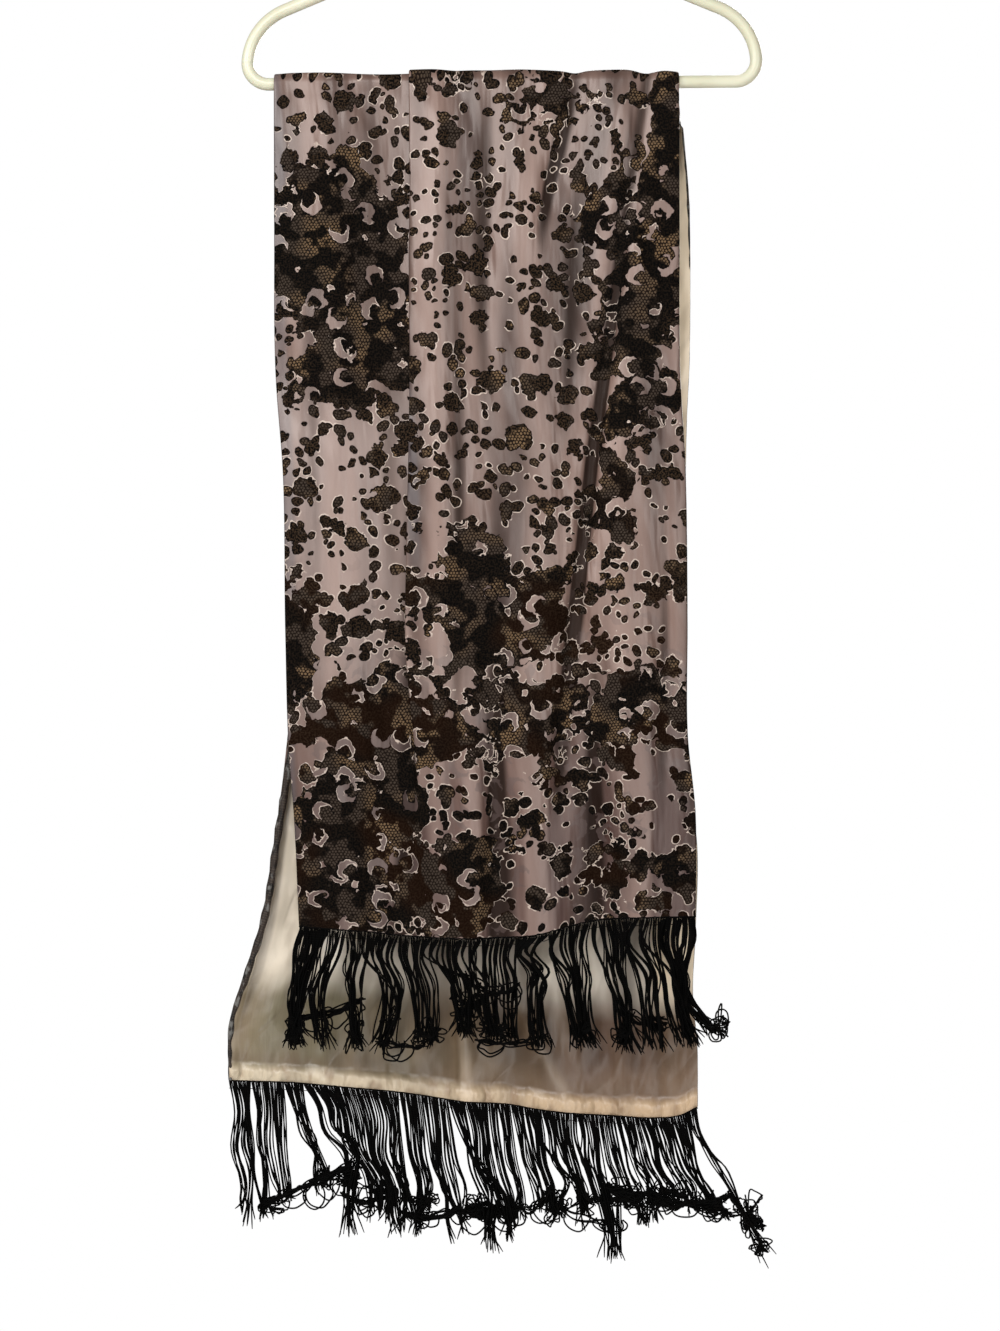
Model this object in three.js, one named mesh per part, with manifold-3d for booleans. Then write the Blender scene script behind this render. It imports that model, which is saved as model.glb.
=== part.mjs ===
// A long lined scarf with a fringe at both ends, folded once over the bottom bar of a tubular hanger.
// Millimetres, +Z up, +X to the right of someone facing the front, +Y away from them.
// The origin is the inner top of the hook, where the rail that carries it bears.
import * as THREE from 'three';
import { mergeVertices } from 'three/addons/utils/BufferGeometryUtils.js';
import Module from 'manifold-3d';

const wasm = await Module();
wasm.setup();

// ---------------------------------------------------------------- driving dimensions
const CUT_WIDTH = 386;        // cloth, from one long edge to the other
const WALL = 1.0;             // each of the two cloths
const SEAM_GAP = 0.3;         // between any two pieces
const FOLD_RADIUS = 1.4;      // of a flat fold, measured where face and lining meet
const PLEAT_DEPTH = 7;        // how far the knife pleat's layers lie over each other
const CREASE_STEP = 0.5;      // step along the cloth when a section is laid out

const BAR_RADIUS = 5;         // the hanger's tube
const BAR_Z = -210;           // centre line of the bottom bar
const BAR_HALF = 205.2;       // half its length, between the lower corners
const HANGER_LEAN = 0.006;    // the hanger hangs slightly higher on its right
const SHOULDER_X = 203.6;
const SHOULDER_Z = 47.5;      // above the bar
const ARM_SLOPE = THREE.MathUtils.degToRad(22.5);
const CORNER_RADII = { lower: 17, shoulder: 48, neck: 30 };
const NECK_TOP_Z = -64.3;
const NECK_RADIUS = 6.5;
const HOOK_TUBE_RADIUS = 4.5;
const HOOK_BEND = 24;         // the hook's bend, to its centre line
const TUBE_SIDES = 10;

const YARN_PITCH = 4.1;       // fringe: one strand every so much of the hem
const YARN_RADIUS = 1.05;
const YARN_ROOT_RADIUS = 0.6;
const HEADER = { height: 5, thickness: 1.7 };

const BAR_CLEARANCE = 0.75;   // between the tube and the lining that bends over it
const MEET_RADIUS = BAR_RADIUS + BAR_CLEARANCE + WALL + SEAM_GAP / 2;   // where face and lining meet
const FOLD_ARC = Math.PI * FOLD_RADIUS;

// ---------------------------------------------------------------- tables
function table(columns, rows) {
  return rows.map((row) => Object.fromEntries(columns.map((name, i) => [name, row[i]])));
}

// Sections of the hanging panels. drop: below the bar. left, right: the outline. margin: the width
// turned under at each edge. turnLeft, turnRight: how far it is turned, 180 lies flat and 0 is open.
// pleat: how far the knife pleat is folded. pleatX: its visible edge. stand: off the middle plane.
const SECTION = ['drop', 'left', 'right', 'margin', 'turnLeft', 'turnRight', 'pleat', 'pleatX', 'stand'];
const FRONT_SECTIONS = table(SECTION, [
  [0, -182.6, 141.6, 16, 180, 180, 180, -72.4, 0],
  [40, -182.2, 141.6, 16, 180, 180, 180, -72.2, 2],
  [120, -181.8, 141.6, 16, 180, 180, 180, -72, 4],
  [230, -181, 142, 17, 180, 180, 180, -73, 6],
  [320, -174.5, 146.5, 17, 180, 180, 175, -75, 6],
  [440, -173, 148, 18, 180, 180, 150, -78, 6],
  [530, -170.6, 148, 21, 180, 180, 70, -80, 6],
  [600, -165.7, 154.5, 24, 180, 180, 15, -82, 5],
  [686, -162, 154.5, 25, 180, 180, 0, -84, 3],
]);
const BACK_SECTIONS = table(SECTION, [
  [0, -182.6, 141.6, 16, 180, 180, 180, -72.4, 0],
  [50, -181, 147, 16, 180, 100, 180, -72, 1],
  [105, -179, 151.5, 16, 180, 40, 170, -72, 2],
  [215, -176.5, 152, 16, 180, 25, 120, -74, 3],
  [280, -174.5, 149.5, 15, 180, 25, 60, -76, 3],
  [385, -172, 148.5, 14, 180, 30, 20, -78, 3],
  [500, -171.5, 148.5, 12, 145, 30, 0, -80, 3],
  [555, -176, 151, 11, 115, 30, 0, -82, 3],
  [620, -184, 158, 10, 105, 30, 0, -84, 3],
  [690, -193, 156.5, 9, 90, 25, 0, -86, 4],
  [735, -207, 154.5, 8, 60, 20, 0, -88, 5],
  [780, -220, 158, 8, 30, 12, 0, -90, 7],
  [830, -221, 158.5, 8, 10, 8, 0, -92, 8],
]);

// The largest troughs of the front panel: where each starts and ends, and its depth and half width.
const TROUGH = ['xTop', 'dropTop', 'xLow', 'dropLow', 'depthTop', 'depthMid', 'depthLow', 'half'];
const FRONT_TROUGHS = table(TROUGH, [
  [-144, 120, -132, 640, 0.5, 2, 1, 16],
  [-104, 60, -116, 620, 0, 1.5, 2.5, 14],
  [-38, 20, -42, 660, 1, 4.5, 4, 16],
  [30, 0, 2, 260, 2.5, 2.5, 0, 12],
  [112, 0, 40, 600, 6, 7, 2, 10],
]);

const NO_TROUGHS = FRONT_TROUGHS.map((trough) => ({ ...trough, depthTop: 0, depthMid: 0, depthLow: 0 }));

// The hems: how far below the bar each lies across the cloth.
const HEM = ['x', 'drop'];
const FRONT_HEM = table(HEM, [
  [-162, 676], [-110, 680], [-82, 684], [-42, 686], [0, 686],
  [25, 684], [55, 677], [81, 672], [109, 670], [155, 670],
]);
const BACK_HEM = table(HEM, [
  [-221, 803], [-162, 806], [-102, 811], [-41, 820], [4, 824],
  [29, 828], [90, 834], [120, 836], [143, 834], [158, 827],
]);

// The locks that the fringe has gathered into, from left to right. until: where a lock's last strand
// leaves the hem. waistX, waistDrop: where it is drawn together. endX, endDrop: its tip.
const LOCK = ['until', 'waistX', 'waistDrop', 'endX', 'endDrop'];
const FRONT_LOCKS = table(LOCK, [
  [-144, -165, 738, -166, 778],
  [-125, -148, 738, -142, 778],
  [-104, -117, 730, -117, 779],
  [-81, -88, 738, -96, 781],
  [-53, -60, 736, -60, 778],
  [-27, -32, 738, -28, 770],
  [-2, -12, 738, -6, 773],
  [14, 6, 738, 8, 775],
  [37, 26, 726, 30, 777],
  [71, 60, 736, 68, 779],
  [96, 95, 730, 100, 781],
  [119, 117, 736, 124, 779],
  [145, 139, 736, 150, 776],
  [170, 152, 730, 178, 768],
]);
const BACK_LOCKS = table(LOCK, [
  [-210, -207, 878, -208, 926],
  [-196, -195, 878, -193, 930],
  [-179, -179, 882, -177, 913],
  [-163, -150, 867, -149, 901],
  [-140, -125, 861, -124, 933],
  [-113, -100, 889, -99, 923],
  [-89, -85, 893, -82, 937],
  [-66, -66, 889, -66, 938],
  [-43, -42, 893, -34, 938],
  [-18, -12, 897, -11, 946],
  [8, 10.5, 897, 10.5, 939],
  [37, 37, 889, 38, 918],
  [64, 68, 893, 72, 929],
  [87, 88, 889, 94, 954],
  [113, 119, 889, 121, 927],
  [134, 146, 893, 153, 923],
  [151, 169, 895, 182, 921],
  [175, 191, 889, 218, 958],
]);

// ---------------------------------------------------------------- small helpers
const clamp = THREE.MathUtils.clamp;
const lerp = THREE.MathUtils.lerp;

// Smooth value of one column of a table at a key, through the rows around it.
function sample(rows, key, at, column) {
  const last = rows.length - 1;
  let i = 0;
  while (i < last - 1 && rows[i + 1][key] < at) i += 1;
  const before = rows[Math.max(i - 1, 0)];
  const from = rows[i];
  const to = rows[i + 1];
  const after = rows[Math.min(i + 2, last)];
  const span = to[key] - from[key];
  const t = clamp((at - from[key]) / span, 0, 1);
  const slopeFrom = (to[column] - before[column]) / (to[key] - before[key]) * span;
  const slopeTo = (after[column] - from[column]) / (after[key] - from[key]) * span;
  const t2 = t * t;
  const t3 = t2 * t;
  return (2 * t3 - 3 * t2 + 1) * from[column] + (t3 - 2 * t2 + t) * slopeFrom
    + (3 * t2 - 2 * t3) * to[column] + (t3 - t2) * slopeTo;
}

function sectionAt(rows, drop) {
  const section = { drop };
  for (const name of SECTION.slice(1)) section[name] = sample(rows, 'drop', drop, name);
  for (const name of ['turnLeft', 'turnRight', 'pleat']) section[name] = clamp(section[name], 0, 180);
  return section;
}

// ---------------------------------------------------------------- the cloth's section
// How far the cloth has turned along its width is a sum of flat folds and soft troughs, so its
// cut width never changes. ramp rises from 0 to 1 over one flat fold centred on a place.
function ramp(s, centre) {
  return clamp((s - centre) / FOLD_ARC + 0.5, 0, 1);
}

// Where the flat folds and the soft troughs of one section lie. The soft shape is a function of a
// place on the flat panel, so the layers of a flat fold share it and stay parallel.
function layOut(section, troughs) {
  const leftFold = section.margin + FOLD_ARC / 2;
  const rightFold = CUT_WIDTH - leftFold;
  const pleatAngle = THREE.MathUtils.degToRad(section.pleat);
  const hidden = (PLEAT_DEPTH + FOLD_ARC) * (1 - Math.cos(pleatAngle));
  const panel = rightFold - leftFold - hidden;
  const ease = panel / (section.right - section.left);
  const pleatUnder = leftFold + (section.pleatX + PLEAT_DEPTH - section.left) * ease;
  const pleatEdge = pleatUnder + PLEAT_DEPTH + FOLD_ARC;
  const soft = troughs.map((trough) => {
    const along = (section.drop - trough.dropTop) / (trough.dropLow - trough.dropTop);
    const held = clamp(along, 0, 1);
    const fade = clamp(1 - Math.abs(along - held) * 5, 0, 1);
    const upper = lerp(trough.depthTop, trough.depthMid, held);
    const depth = lerp(upper, lerp(trough.depthMid, trough.depthLow, held), held);
    const x = lerp(trough.xTop, trough.xLow, held);
    return { centre: (x - section.left) * ease, depth: depth * fade, half: trough.half };
  });
  return { section, leftFold, rightFold, pleatUnder, pleatEdge, pleatAngle, hidden, panel, soft };
}

// The place on the flat panel, from its left fold, under which a place on the cloth lies.
function placeOnPanel(s, plan) {
  const { leftFold, rightFold, hidden, panel, section } = plan;
  if (s < leftFold) return (leftFold - s) * section.turnLeft / 180;
  if (s > rightFold) return panel - (s - rightFold) * section.turnRight / 180;
  const folded = clamp(s - plan.pleatUnder, 0, PLEAT_DEPTH + FOLD_ARC) / (PLEAT_DEPTH + FOLD_ARC);
  return s - leftFold - folded * hidden;
}

// The place on the cloth for a place on the panel right of the pleat.
function placeOnCloth(u, plan) {
  return plan.leftFold + u + plan.hidden;
}

const FILLER_WAVES = 4;
const FILLER_REACH = 40;      // the soft waves grow from nothing over this much at each edge

function softAngle(u, plan, gather) {
  let slope = 0;
  for (const trough of plan.soft) {
    const q = (u - trough.centre) / trough.half;
    slope += 2 * trough.depth * q / trough.half * Math.exp(-q * q);
  }
  const f = clamp(u / plan.panel, 0, 1);
  const uneven = f + 0.035 * Math.sin(3 * Math.PI * f + 1) * Math.sin(Math.PI * f);
  const grown = clamp(Math.min(u, plan.panel - u) / FILLER_REACH, 0, 1);
  slope += gather * Math.sin(2 * Math.PI * FILLER_WAVES * uneven) * grown;
  return Math.asin(clamp(slope, -0.85, 0.85));
}

function angleAt(s, plan, gather) {
  const { section } = plan;
  const toRad = THREE.MathUtils.DEG2RAD;
  let angle = section.turnLeft * toRad * (1 - ramp(s, plan.leftFold));
  angle -= section.turnRight * toRad * ramp(s, plan.rightFold);
  angle += plan.pleatAngle * (ramp(s, plan.pleatUnder) - ramp(s, plan.pleatEdge));
  return angle + softAngle(placeOnPanel(s, plan), plan, gather);
}

// Lays one section out: x to the right and h outwards, one point for each step of cloth.
function traceSection(plan, gather) {
  const steps = Math.round(CUT_WIDTH / CREASE_STEP);
  const points = [{ x: 0, h: 0 }];
  for (let i = 0; i < steps; i += 1) {
    const angle = angleAt((i + 0.5) * CREASE_STEP, plan, gather);
    const last = points[i];
    points.push({ x: last.x + Math.cos(angle) * CREASE_STEP, h: last.h + Math.sin(angle) * CREASE_STEP });
  }
  return points;
}

function extent(points) {
  const xs = points.map((p) => p.x);
  return { low: Math.min(...xs), high: Math.max(...xs) };
}

// The soft waves take up what the outline leaves over of the cut width.
function fitSection(plan) {
  const wanted = plan.section.right - plan.section.left;
  let low = 0;
  let high = 0.8;
  for (let i = 0; i < 22; i += 1) {
    const middle = (low + high) / 2;
    const { low: a, high: b } = extent(traceSection(plan, middle));
    if (b - a > wanted) low = middle;
    else high = middle;
  }
  return traceSection(plan, low);
}

// Puts a section at its outline, levels it from edge to edge and rests its lowest point at h = 0.
function placeSection(plan) {
  const points = fitSection(plan);
  const { low, high } = extent(points);
  const centre = (plan.section.left + plan.section.right) / 2;
  const shift = centre - (low + high) / 2;
  const index = (s) => Math.round(s / CREASE_STEP);
  const from = points[index(plan.leftFold)];
  const to = points[index(plan.rightFold)];
  const tilt = (to.h - from.h) / (to.x - from.x);
  const level = points.map((p) => ({ x: p.x + shift, h: p.h - (p.x - from.x) * tilt }));
  const lowest = Math.min(...level.map((p) => p.h));
  return level.map((p) => ({ x: p.x, h: p.h - lowest }));
}

function pointAt(points, s) {
  const at = clamp(s / CREASE_STEP, 0, points.length - 1.001);
  const i = Math.floor(at);
  const t = at - i;
  return { x: lerp(points[i].x, points[i + 1].x, t), h: lerp(points[i].h, points[i + 1].h, t) };
}

// ---------------------------------------------------------------- the cloth's surface
// Columns across the cloth: close together in the flat folds, and on the soft troughs.
const CLOSEST_COLUMNS = 0.7;

function foldColumns(centre) {
  return [-1 / 2, -1 / 6, 1 / 6, 1 / 2].map((f) => centre + f * FOLD_ARC);
}

function evenColumns(from, to, count) {
  return Array.from({ length: count }, (_, i) => lerp(from, to, (i + 1) / (count + 1)));
}

function columnsOf(plan) {
  const onCloth = plan.soft.map(({ centre, half }) => ({ centre: placeOnCloth(centre, plan), half }));
  const [, , beside, short, deep] = onCloth;
  const half = FOLD_ARC / 2;
  const { leftFold, rightFold, pleatUnder, pleatEdge } = plan;
  const { margin } = plan.section;
  const places = [
    0,
    margin / 2,
    ...foldColumns(leftFold),
    leftFold + half + margin / 2,
    leftFold + half + margin,
    ...evenColumns(leftFold + half + margin, pleatUnder - half, 3),
    ...foldColumns(pleatUnder),
    ...foldColumns(pleatEdge),
    ...evenColumns(pleatEdge + half, beside.centre, 1),
    beside.centre,
    ...evenColumns(beside.centre, short.centre, 2),
    short.centre,
    deep.centre - deep.half,
    deep.centre,
    deep.centre + deep.half,
    (deep.centre + deep.half + rightFold - half - margin) / 2,
    rightFold - half - margin,
    rightFold - half - margin / 2,
    ...foldColumns(rightFold),
    CUT_WIDTH - margin / 2,
    CUT_WIDTH,
  ].sort((a, b) => a - b);
  for (let j = 1; j < places.length - 1; j += 1) {
    places[j] = Math.max(places[j], places[j - 1] + CLOSEST_COLUMNS);
  }
  return places;
}

const FRONT_DROPS = [686, 600, 515, 430, 345, 265, 190, 120, 66, 30, 10];
const BACK_DROPS = [10, 32, 66, 112, 175, 250, 335, 420, 505, 575, 640, 700, 745, 790, 830];

// The cloth over the bar is parted at the top of its bend, into a front and a back stretch.
const PARTED = SEAM_GAP / 2 / (BAR_RADIUS + BAR_CLEARANCE);
const FRONT_BEND = [0, Math.PI / 4, Math.PI / 2 - PARTED];
const BACK_BEND = FRONT_BEND.map((angle) => Math.PI - angle).reverse();

// One row of the surface where face and lining meet, at a drop below the bar.
function panelRow(side, drop) {
  const front = side < 0;
  const sections = front ? FRONT_SECTIONS : BACK_SECTIONS;
  const hem = front ? FRONT_HEM : BACK_HEM;
  const plan = layOut(sectionAt(sections, drop), front ? FRONT_TROUGHS : NO_TROUGHS);
  const points = placeSection(plan);
  const full = sections[sections.length - 1].drop;
  const row = columnsOf(plan).map((s) => {
    const { x, h } = pointAt(points, s);
    const below = drop * lerp(1, sample(hem, 'x', x, 'drop') / full, (drop / full) ** 2);
    const out = MEET_RADIUS + plan.section.stand + h;
    return new THREE.Vector3(x, side * out, BAR_Z + x * HANGER_LEAN - below);
  });
  return { row };
}

// One row over the bar: 0 is its front, and half a turn its back. The row knows its own tangent.
function bendRow(angle) {
  const plan = layOut(sectionAt(FRONT_SECTIONS, 0), FRONT_TROUGHS);
  const points = placeSection(plan);
  const row = columnsOf(plan).map((s) => {
    const { x, h } = pointAt(points, s);
    const reach = MEET_RADIUS + h;
    const barZ = BAR_Z + x * HANGER_LEAN;
    return new THREE.Vector3(x, -Math.cos(angle) * reach, barZ + Math.sin(angle) * reach);
  });
  return { row, tangent: new THREE.Vector3(0, Math.sin(angle), Math.cos(angle)) };
}

// A stretch of the cloth: its rows, from the front hem's side to the back hem's, and their tangents.
function stretch(made) {
  return { rows: made.map(({ row }) => row), tangents: made.map(({ tangent }) => tangent) };
}

const FRONT = stretch([...FRONT_DROPS.map((drop) => panelRow(-1, drop)), ...FRONT_BEND.map(bendRow)]);
const BACK = stretch([...BACK_BEND.map(bendRow), ...BACK_DROPS.map((drop) => panelRow(1, drop))]);

// Outward directions of a grid of points, from the neighbours on all four sides.
function outwardGrid({ rows, tangents = [] }) {
  return rows.map((row, i) => row.map((_, j) => {
    const next = rows[Math.min(i + 1, rows.length - 1)][j];
    const up = tangents[i] ?? next.clone().sub(rows[Math.max(i - 1, 0)][j]);
    const before = row[Math.max(j - 1, 0)];
    const after = row[Math.min(j + 1, row.length - 1)];
    const here = row[j];
    const across = new THREE.Vector3();
    if (j > 0) across.add(here.clone().sub(before).normalize());
    if (j < row.length - 1) across.add(after.clone().sub(here).normalize());
    return across.cross(up).normalize();
  }));
}

// A closed wall between two offsets of a grid of points.
function wallGeometry(grid, innerOffset, outerOffset) {
  const outward = outwardGrid(grid);
  const { rows } = grid;
  const count = rows[0].length;
  const positions = [];
  for (const offset of [innerOffset, outerOffset]) {
    rows.forEach((row, i) => row.forEach((p, j) => {
      const q = p.clone().addScaledVector(outward[i][j], offset);
      positions.push(q.x, q.y, q.z);
    }));
  }
  const half = rows.length * count;
  const at = (layer, i, j) => layer * half + i * count + j;
  const faces = [];
  const quad = (a, b, c, d) => faces.push(a, b, c, a, c, d);
  for (let i = 0; i < rows.length - 1; i += 1) {
    for (let j = 0; j < count - 1; j += 1) {
      quad(at(1, i, j), at(1, i, j + 1), at(1, i + 1, j + 1), at(1, i + 1, j));
      quad(at(0, i, j), at(0, i + 1, j), at(0, i + 1, j + 1), at(0, i, j + 1));
    }
    quad(at(0, i, 0), at(1, i, 0), at(1, i + 1, 0), at(0, i + 1, 0));
    const e = count - 1;
    quad(at(1, i, e), at(0, i, e), at(0, i + 1, e), at(1, i + 1, e));
  }
  for (let j = 0; j < count - 1; j += 1) {
    quad(at(0, 0, j), at(0, 0, j + 1), at(1, 0, j + 1), at(1, 0, j));
    const e = rows.length - 1;
    quad(at(1, e, j), at(1, e, j + 1), at(0, e, j + 1), at(0, e, j));
  }
  return indexed(positions, faces);
}

function indexed(positions, faces) {
  const geometry = new THREE.BufferGeometry();
  geometry.setAttribute('position', new THREE.Float32BufferAttribute(positions, 3));
  geometry.setIndex(faces);
  return geometry;
}

// ---------------------------------------------------------------- the fringe
function toSolid(geometry) {
  const mesh = new wasm.Mesh({
    numProp: 3,
    vertProperties: new Float32Array(geometry.attributes.position.array),
    triVerts: new Uint32Array(geometry.index.array),
  });
  return new wasm.Manifold(mesh);
}

function fromSolid(solid) {
  const mesh = solid.getMesh();
  return indexed(Array.from(mesh.vertProperties), Array.from(mesh.triVerts));
}

// One strand: a tapered three-sided yarn through a few points, closed to a point at its tip.
function strandGeometry(points) {
  const sides = 3;
  const positions = [];
  const faces = [];
  const last = points.length - 1;
  points.slice(0, last).forEach((p, i) => {
    const along = points[i + 1].clone().sub(points[Math.max(i - 1, 0)]).normalize();
    const side = new THREE.Vector3(1, 0, 0).addScaledVector(along, -along.x).normalize();
    const front = along.clone().cross(side);
    const radius = i === 0 ? YARN_ROOT_RADIUS : YARN_RADIUS;
    for (let k = 0; k < sides; k += 1) {
      const angle = k / sides * 2 * Math.PI + 0.5;
      const q = p.clone().addScaledVector(side, Math.cos(angle) * radius);
      q.addScaledVector(front, Math.sin(angle) * radius);
      positions.push(q.x, q.y, q.z);
    }
  });
  positions.push(points[last].x, points[last].y, points[last].z);
  for (let k = 0; k < sides; k += 1) {
    const next = (k + 1) % sides;
    for (let i = 0; i < last - 1; i += 1) {
      const a = i * sides;
      faces.push(a + k, a + next, a + sides + next, a + k, a + sides + next, a + sides + k);
    }
    const end = (last - 1) * sides;
    faces.push(end + k, end + next, last * sides);
  }
  faces.push(0, 2, 1);
  return indexed(positions, faces);
}

// Where a strand that leaves the hem at x goes: the lock it belongs to, and its place in the lock.
function lockAt(locks, x, left) {
  const i = locks.findIndex((lock) => x <= lock.until);
  const lock = locks[i < 0 ? locks.length - 1 : i];
  const start = i <= 0 ? left : locks[i - 1].until;
  const width = lock.until - start;
  return { lock, place: clamp((x - start) / width, -0.2, 1.2) - 0.5, width };
}

const LOCK_PULL = { waist: 0.46, end: 0.44 };
const TIP_LENGTH = 4;

// The fringe of one hem: its header strip along the cloth's edge, and the strands fused into it.
function fringeGeometry(hemRow, above, side, locks) {
  const down = new THREE.Vector3().subVectors(hemRow[1], above[1]).setX(0).setY(0).normalize();
  const rowBelow = (distance) => hemRow.map((p) => p.clone().addScaledVector(down, distance));
  const upper = rowBelow(SEAM_GAP);
  const lower = rowBelow(SEAM_GAP + HEADER.height);
  const rows = side < 0 ? [lower, upper] : [upper, lower];
  let solid = toSolid(wallGeometry({ rows }, -HEADER.thickness / 2, HEADER.thickness / 2));
  const lengths = [0];
  for (let j = 1; j < hemRow.length; j += 1) {
    lengths.push(lengths[j - 1] + hemRow[j].distanceTo(hemRow[j - 1]));
  }
  const total = lengths[lengths.length - 1];
  const count = Math.floor(total / YARN_PITCH);
  const left = Math.min(...hemRow.map((p) => p.x));
  const middleY = hemRow[Math.floor(hemRow.length / 2)].y;
  for (let n = 0; n < count; n += 1) {
    const s = (n + 0.5) / count * total;
    let j = 0;
    while (lengths[j + 1] < s) j += 1;
    const t = (s - lengths[j]) / (lengths[j + 1] - lengths[j]);
    const root = hemRow[j].clone().lerp(hemRow[j + 1], t);
    const along = (hemRow[j + 1].x - hemRow[j].x) / (lengths[j + 1] - lengths[j]);
    if (Math.abs(along) < 0.8) continue;
    const turned = along < 0;
    const { lock, place, width } = lockAt(locks, root.x, left);
    const even = n % 2 ? 1 : -1;
    const stagger = turned ? -side * (3.2 + 1.6 * even) : 1.5 * even;
    const start = root.clone().addScaledVector(down, SEAM_GAP + HEADER.height - 1.5);
    const waist = new THREE.Vector3(
      lock.waistX + place * width * LOCK_PULL.waist,
      lerp(root.y, middleY, 0.3) + stagger,
      BAR_Z - lock.waistDrop,
    );
    const middle = start.clone().lerp(waist, 0.45);
    middle.x = lerp(root.x, waist.x, 0.3);
    const end = new THREE.Vector3(
      lock.endX + place * width * LOCK_PULL.end,
      waist.y + stagger * 0.2,
      BAR_Z - lock.endDrop + TIP_LENGTH,
    );
    end.lerp(waist, 0.05 + 0.06 * Math.cos(n * 2.4));
    const tip = end.clone().sub(waist).setLength(TIP_LENGTH).add(end);
    const points = [start, middle, waist, end, tip];
    solid = solid.add(toSolid(strandGeometry(points)));
  }
  return fromSolid(solid);
}

// ---------------------------------------------------------------- the hanger
// A tube swept along points that lie in the plane of the hanger, closed on itself or with round ends.
function tubeGeometry(path, radius, closed) {
  const positions = [];
  const faces = [];
  const n = path.length;
  const sideways = new THREE.Vector3(0, 1, 0);
  const ring = (centre, along, r) => {
    const outward = along.clone().cross(sideways).normalize();
    for (let k = 0; k < TUBE_SIDES; k += 1) {
      const angle = k / TUBE_SIDES * 2 * Math.PI;
      const q = centre.clone().addScaledVector(outward, Math.cos(angle) * r);
      q.addScaledVector(sideways, Math.sin(angle) * r);
      positions.push(q.x, q.y, q.z);
    }
  };
  path.forEach((p, i) => {
    const before = path[closed ? (i + n - 1) % n : Math.max(i - 1, 0)];
    const after = path[closed ? (i + 1) % n : Math.min(i + 1, n - 1)];
    ring(p, after.clone().sub(before).normalize(), radius);
  });
  const join = (a, b) => {
    for (let k = 0; k < TUBE_SIDES; k += 1) {
      const next = (k + 1) % TUBE_SIDES;
      faces.push(a + k, b + k, b + next, a + k, b + next, a + next);
    }
  };
  for (let i = 0; i < n - 1; i += 1) join(i * TUBE_SIDES, (i + 1) * TUBE_SIDES);
  if (closed) {
    join((n - 1) * TUBE_SIDES, 0);
    return indexed(positions, faces);
  }
  const along = path[n - 1].clone().sub(path[n - 2]).normalize();
  ring(path[n - 1].clone().addScaledVector(along, radius * 0.7), along, radius * 0.7);
  join((n - 1) * TUBE_SIDES, n * TUBE_SIDES);
  const tip = path[n - 1].clone().addScaledVector(along, radius);
  positions.push(path[0].x, path[0].y, path[0].z, tip.x, tip.y, tip.z);
  const foot = (n + 1) * TUBE_SIDES;
  for (let k = 0; k < TUBE_SIDES; k += 1) {
    const next = (k + 1) % TUBE_SIDES;
    faces.push(foot, k, next);
    faces.push(n * TUBE_SIDES + k, foot + 1, n * TUBE_SIDES + next);
  }
  return indexed(positions, faces);
}

// The rounded outline of a polygon of corners, each with its own radius.
function roundedPath(corners, steps) {
  const path = [];
  corners.forEach((corner, i) => {
    const before = corners[(i + corners.length - 1) % corners.length];
    const after = corners[(i + 1) % corners.length];
    const toBefore = before.point.clone().sub(corner.point).normalize();
    const toAfter = after.point.clone().sub(corner.point).normalize();
    const half = toBefore.angleTo(toAfter) / 2;
    const reach = corner.radius / Math.tan(half);
    const inward = toBefore.clone().add(toAfter).normalize();
    const centre = corner.point.clone().addScaledVector(inward, corner.radius / Math.sin(half));
    const from = corner.point.clone().addScaledVector(toBefore, reach).sub(centre);
    const to = corner.point.clone().addScaledVector(toAfter, reach).sub(centre);
    const sweep = from.angleTo(to);
    for (let k = 0; k <= steps; k += 1) {
      const t = k / steps;
      const p = from.clone().multiplyScalar(Math.sin((1 - t) * sweep));
      p.addScaledVector(to, Math.sin(t * sweep)).divideScalar(Math.sin(sweep));
      path.push(p.add(centre));
    }
  });
  return path;
}

function frameGeometry() {
  const neckZ = SHOULDER_Z + SHOULDER_X * Math.tan(ARM_SLOPE);
  const corner = (x, z, radius) => ({ point: new THREE.Vector3(x, 0, BAR_Z + z), radius });
  const path = roundedPath([
    corner(-BAR_HALF, 0, CORNER_RADII.lower),
    corner(-SHOULDER_X, SHOULDER_Z, CORNER_RADII.shoulder),
    corner(0, neckZ, CORNER_RADII.neck),
    corner(SHOULDER_X, SHOULDER_Z, CORNER_RADII.shoulder),
    corner(BAR_HALF, 0, CORNER_RADII.lower),
  ], 5);
  for (const p of path) p.z += p.x * HANGER_LEAN;
  const loop = toSolid(tubeGeometry(path, BAR_RADIUS, true));
  const neckLow = BAR_Z + neckZ - BAR_RADIUS;
  const collar = new THREE.CylinderGeometry(NECK_RADIUS, NECK_RADIUS, NECK_TOP_Z - neckLow, TUBE_SIDES);
  collar.rotateX(Math.PI / 2);
  collar.translate(0, 0, (NECK_TOP_Z + neckLow) / 2);
  collar.deleteAttribute('normal');
  collar.deleteAttribute('uv');
  return fromSolid(loop.add(toSolid(mergeVertices(collar))));
}

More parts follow.
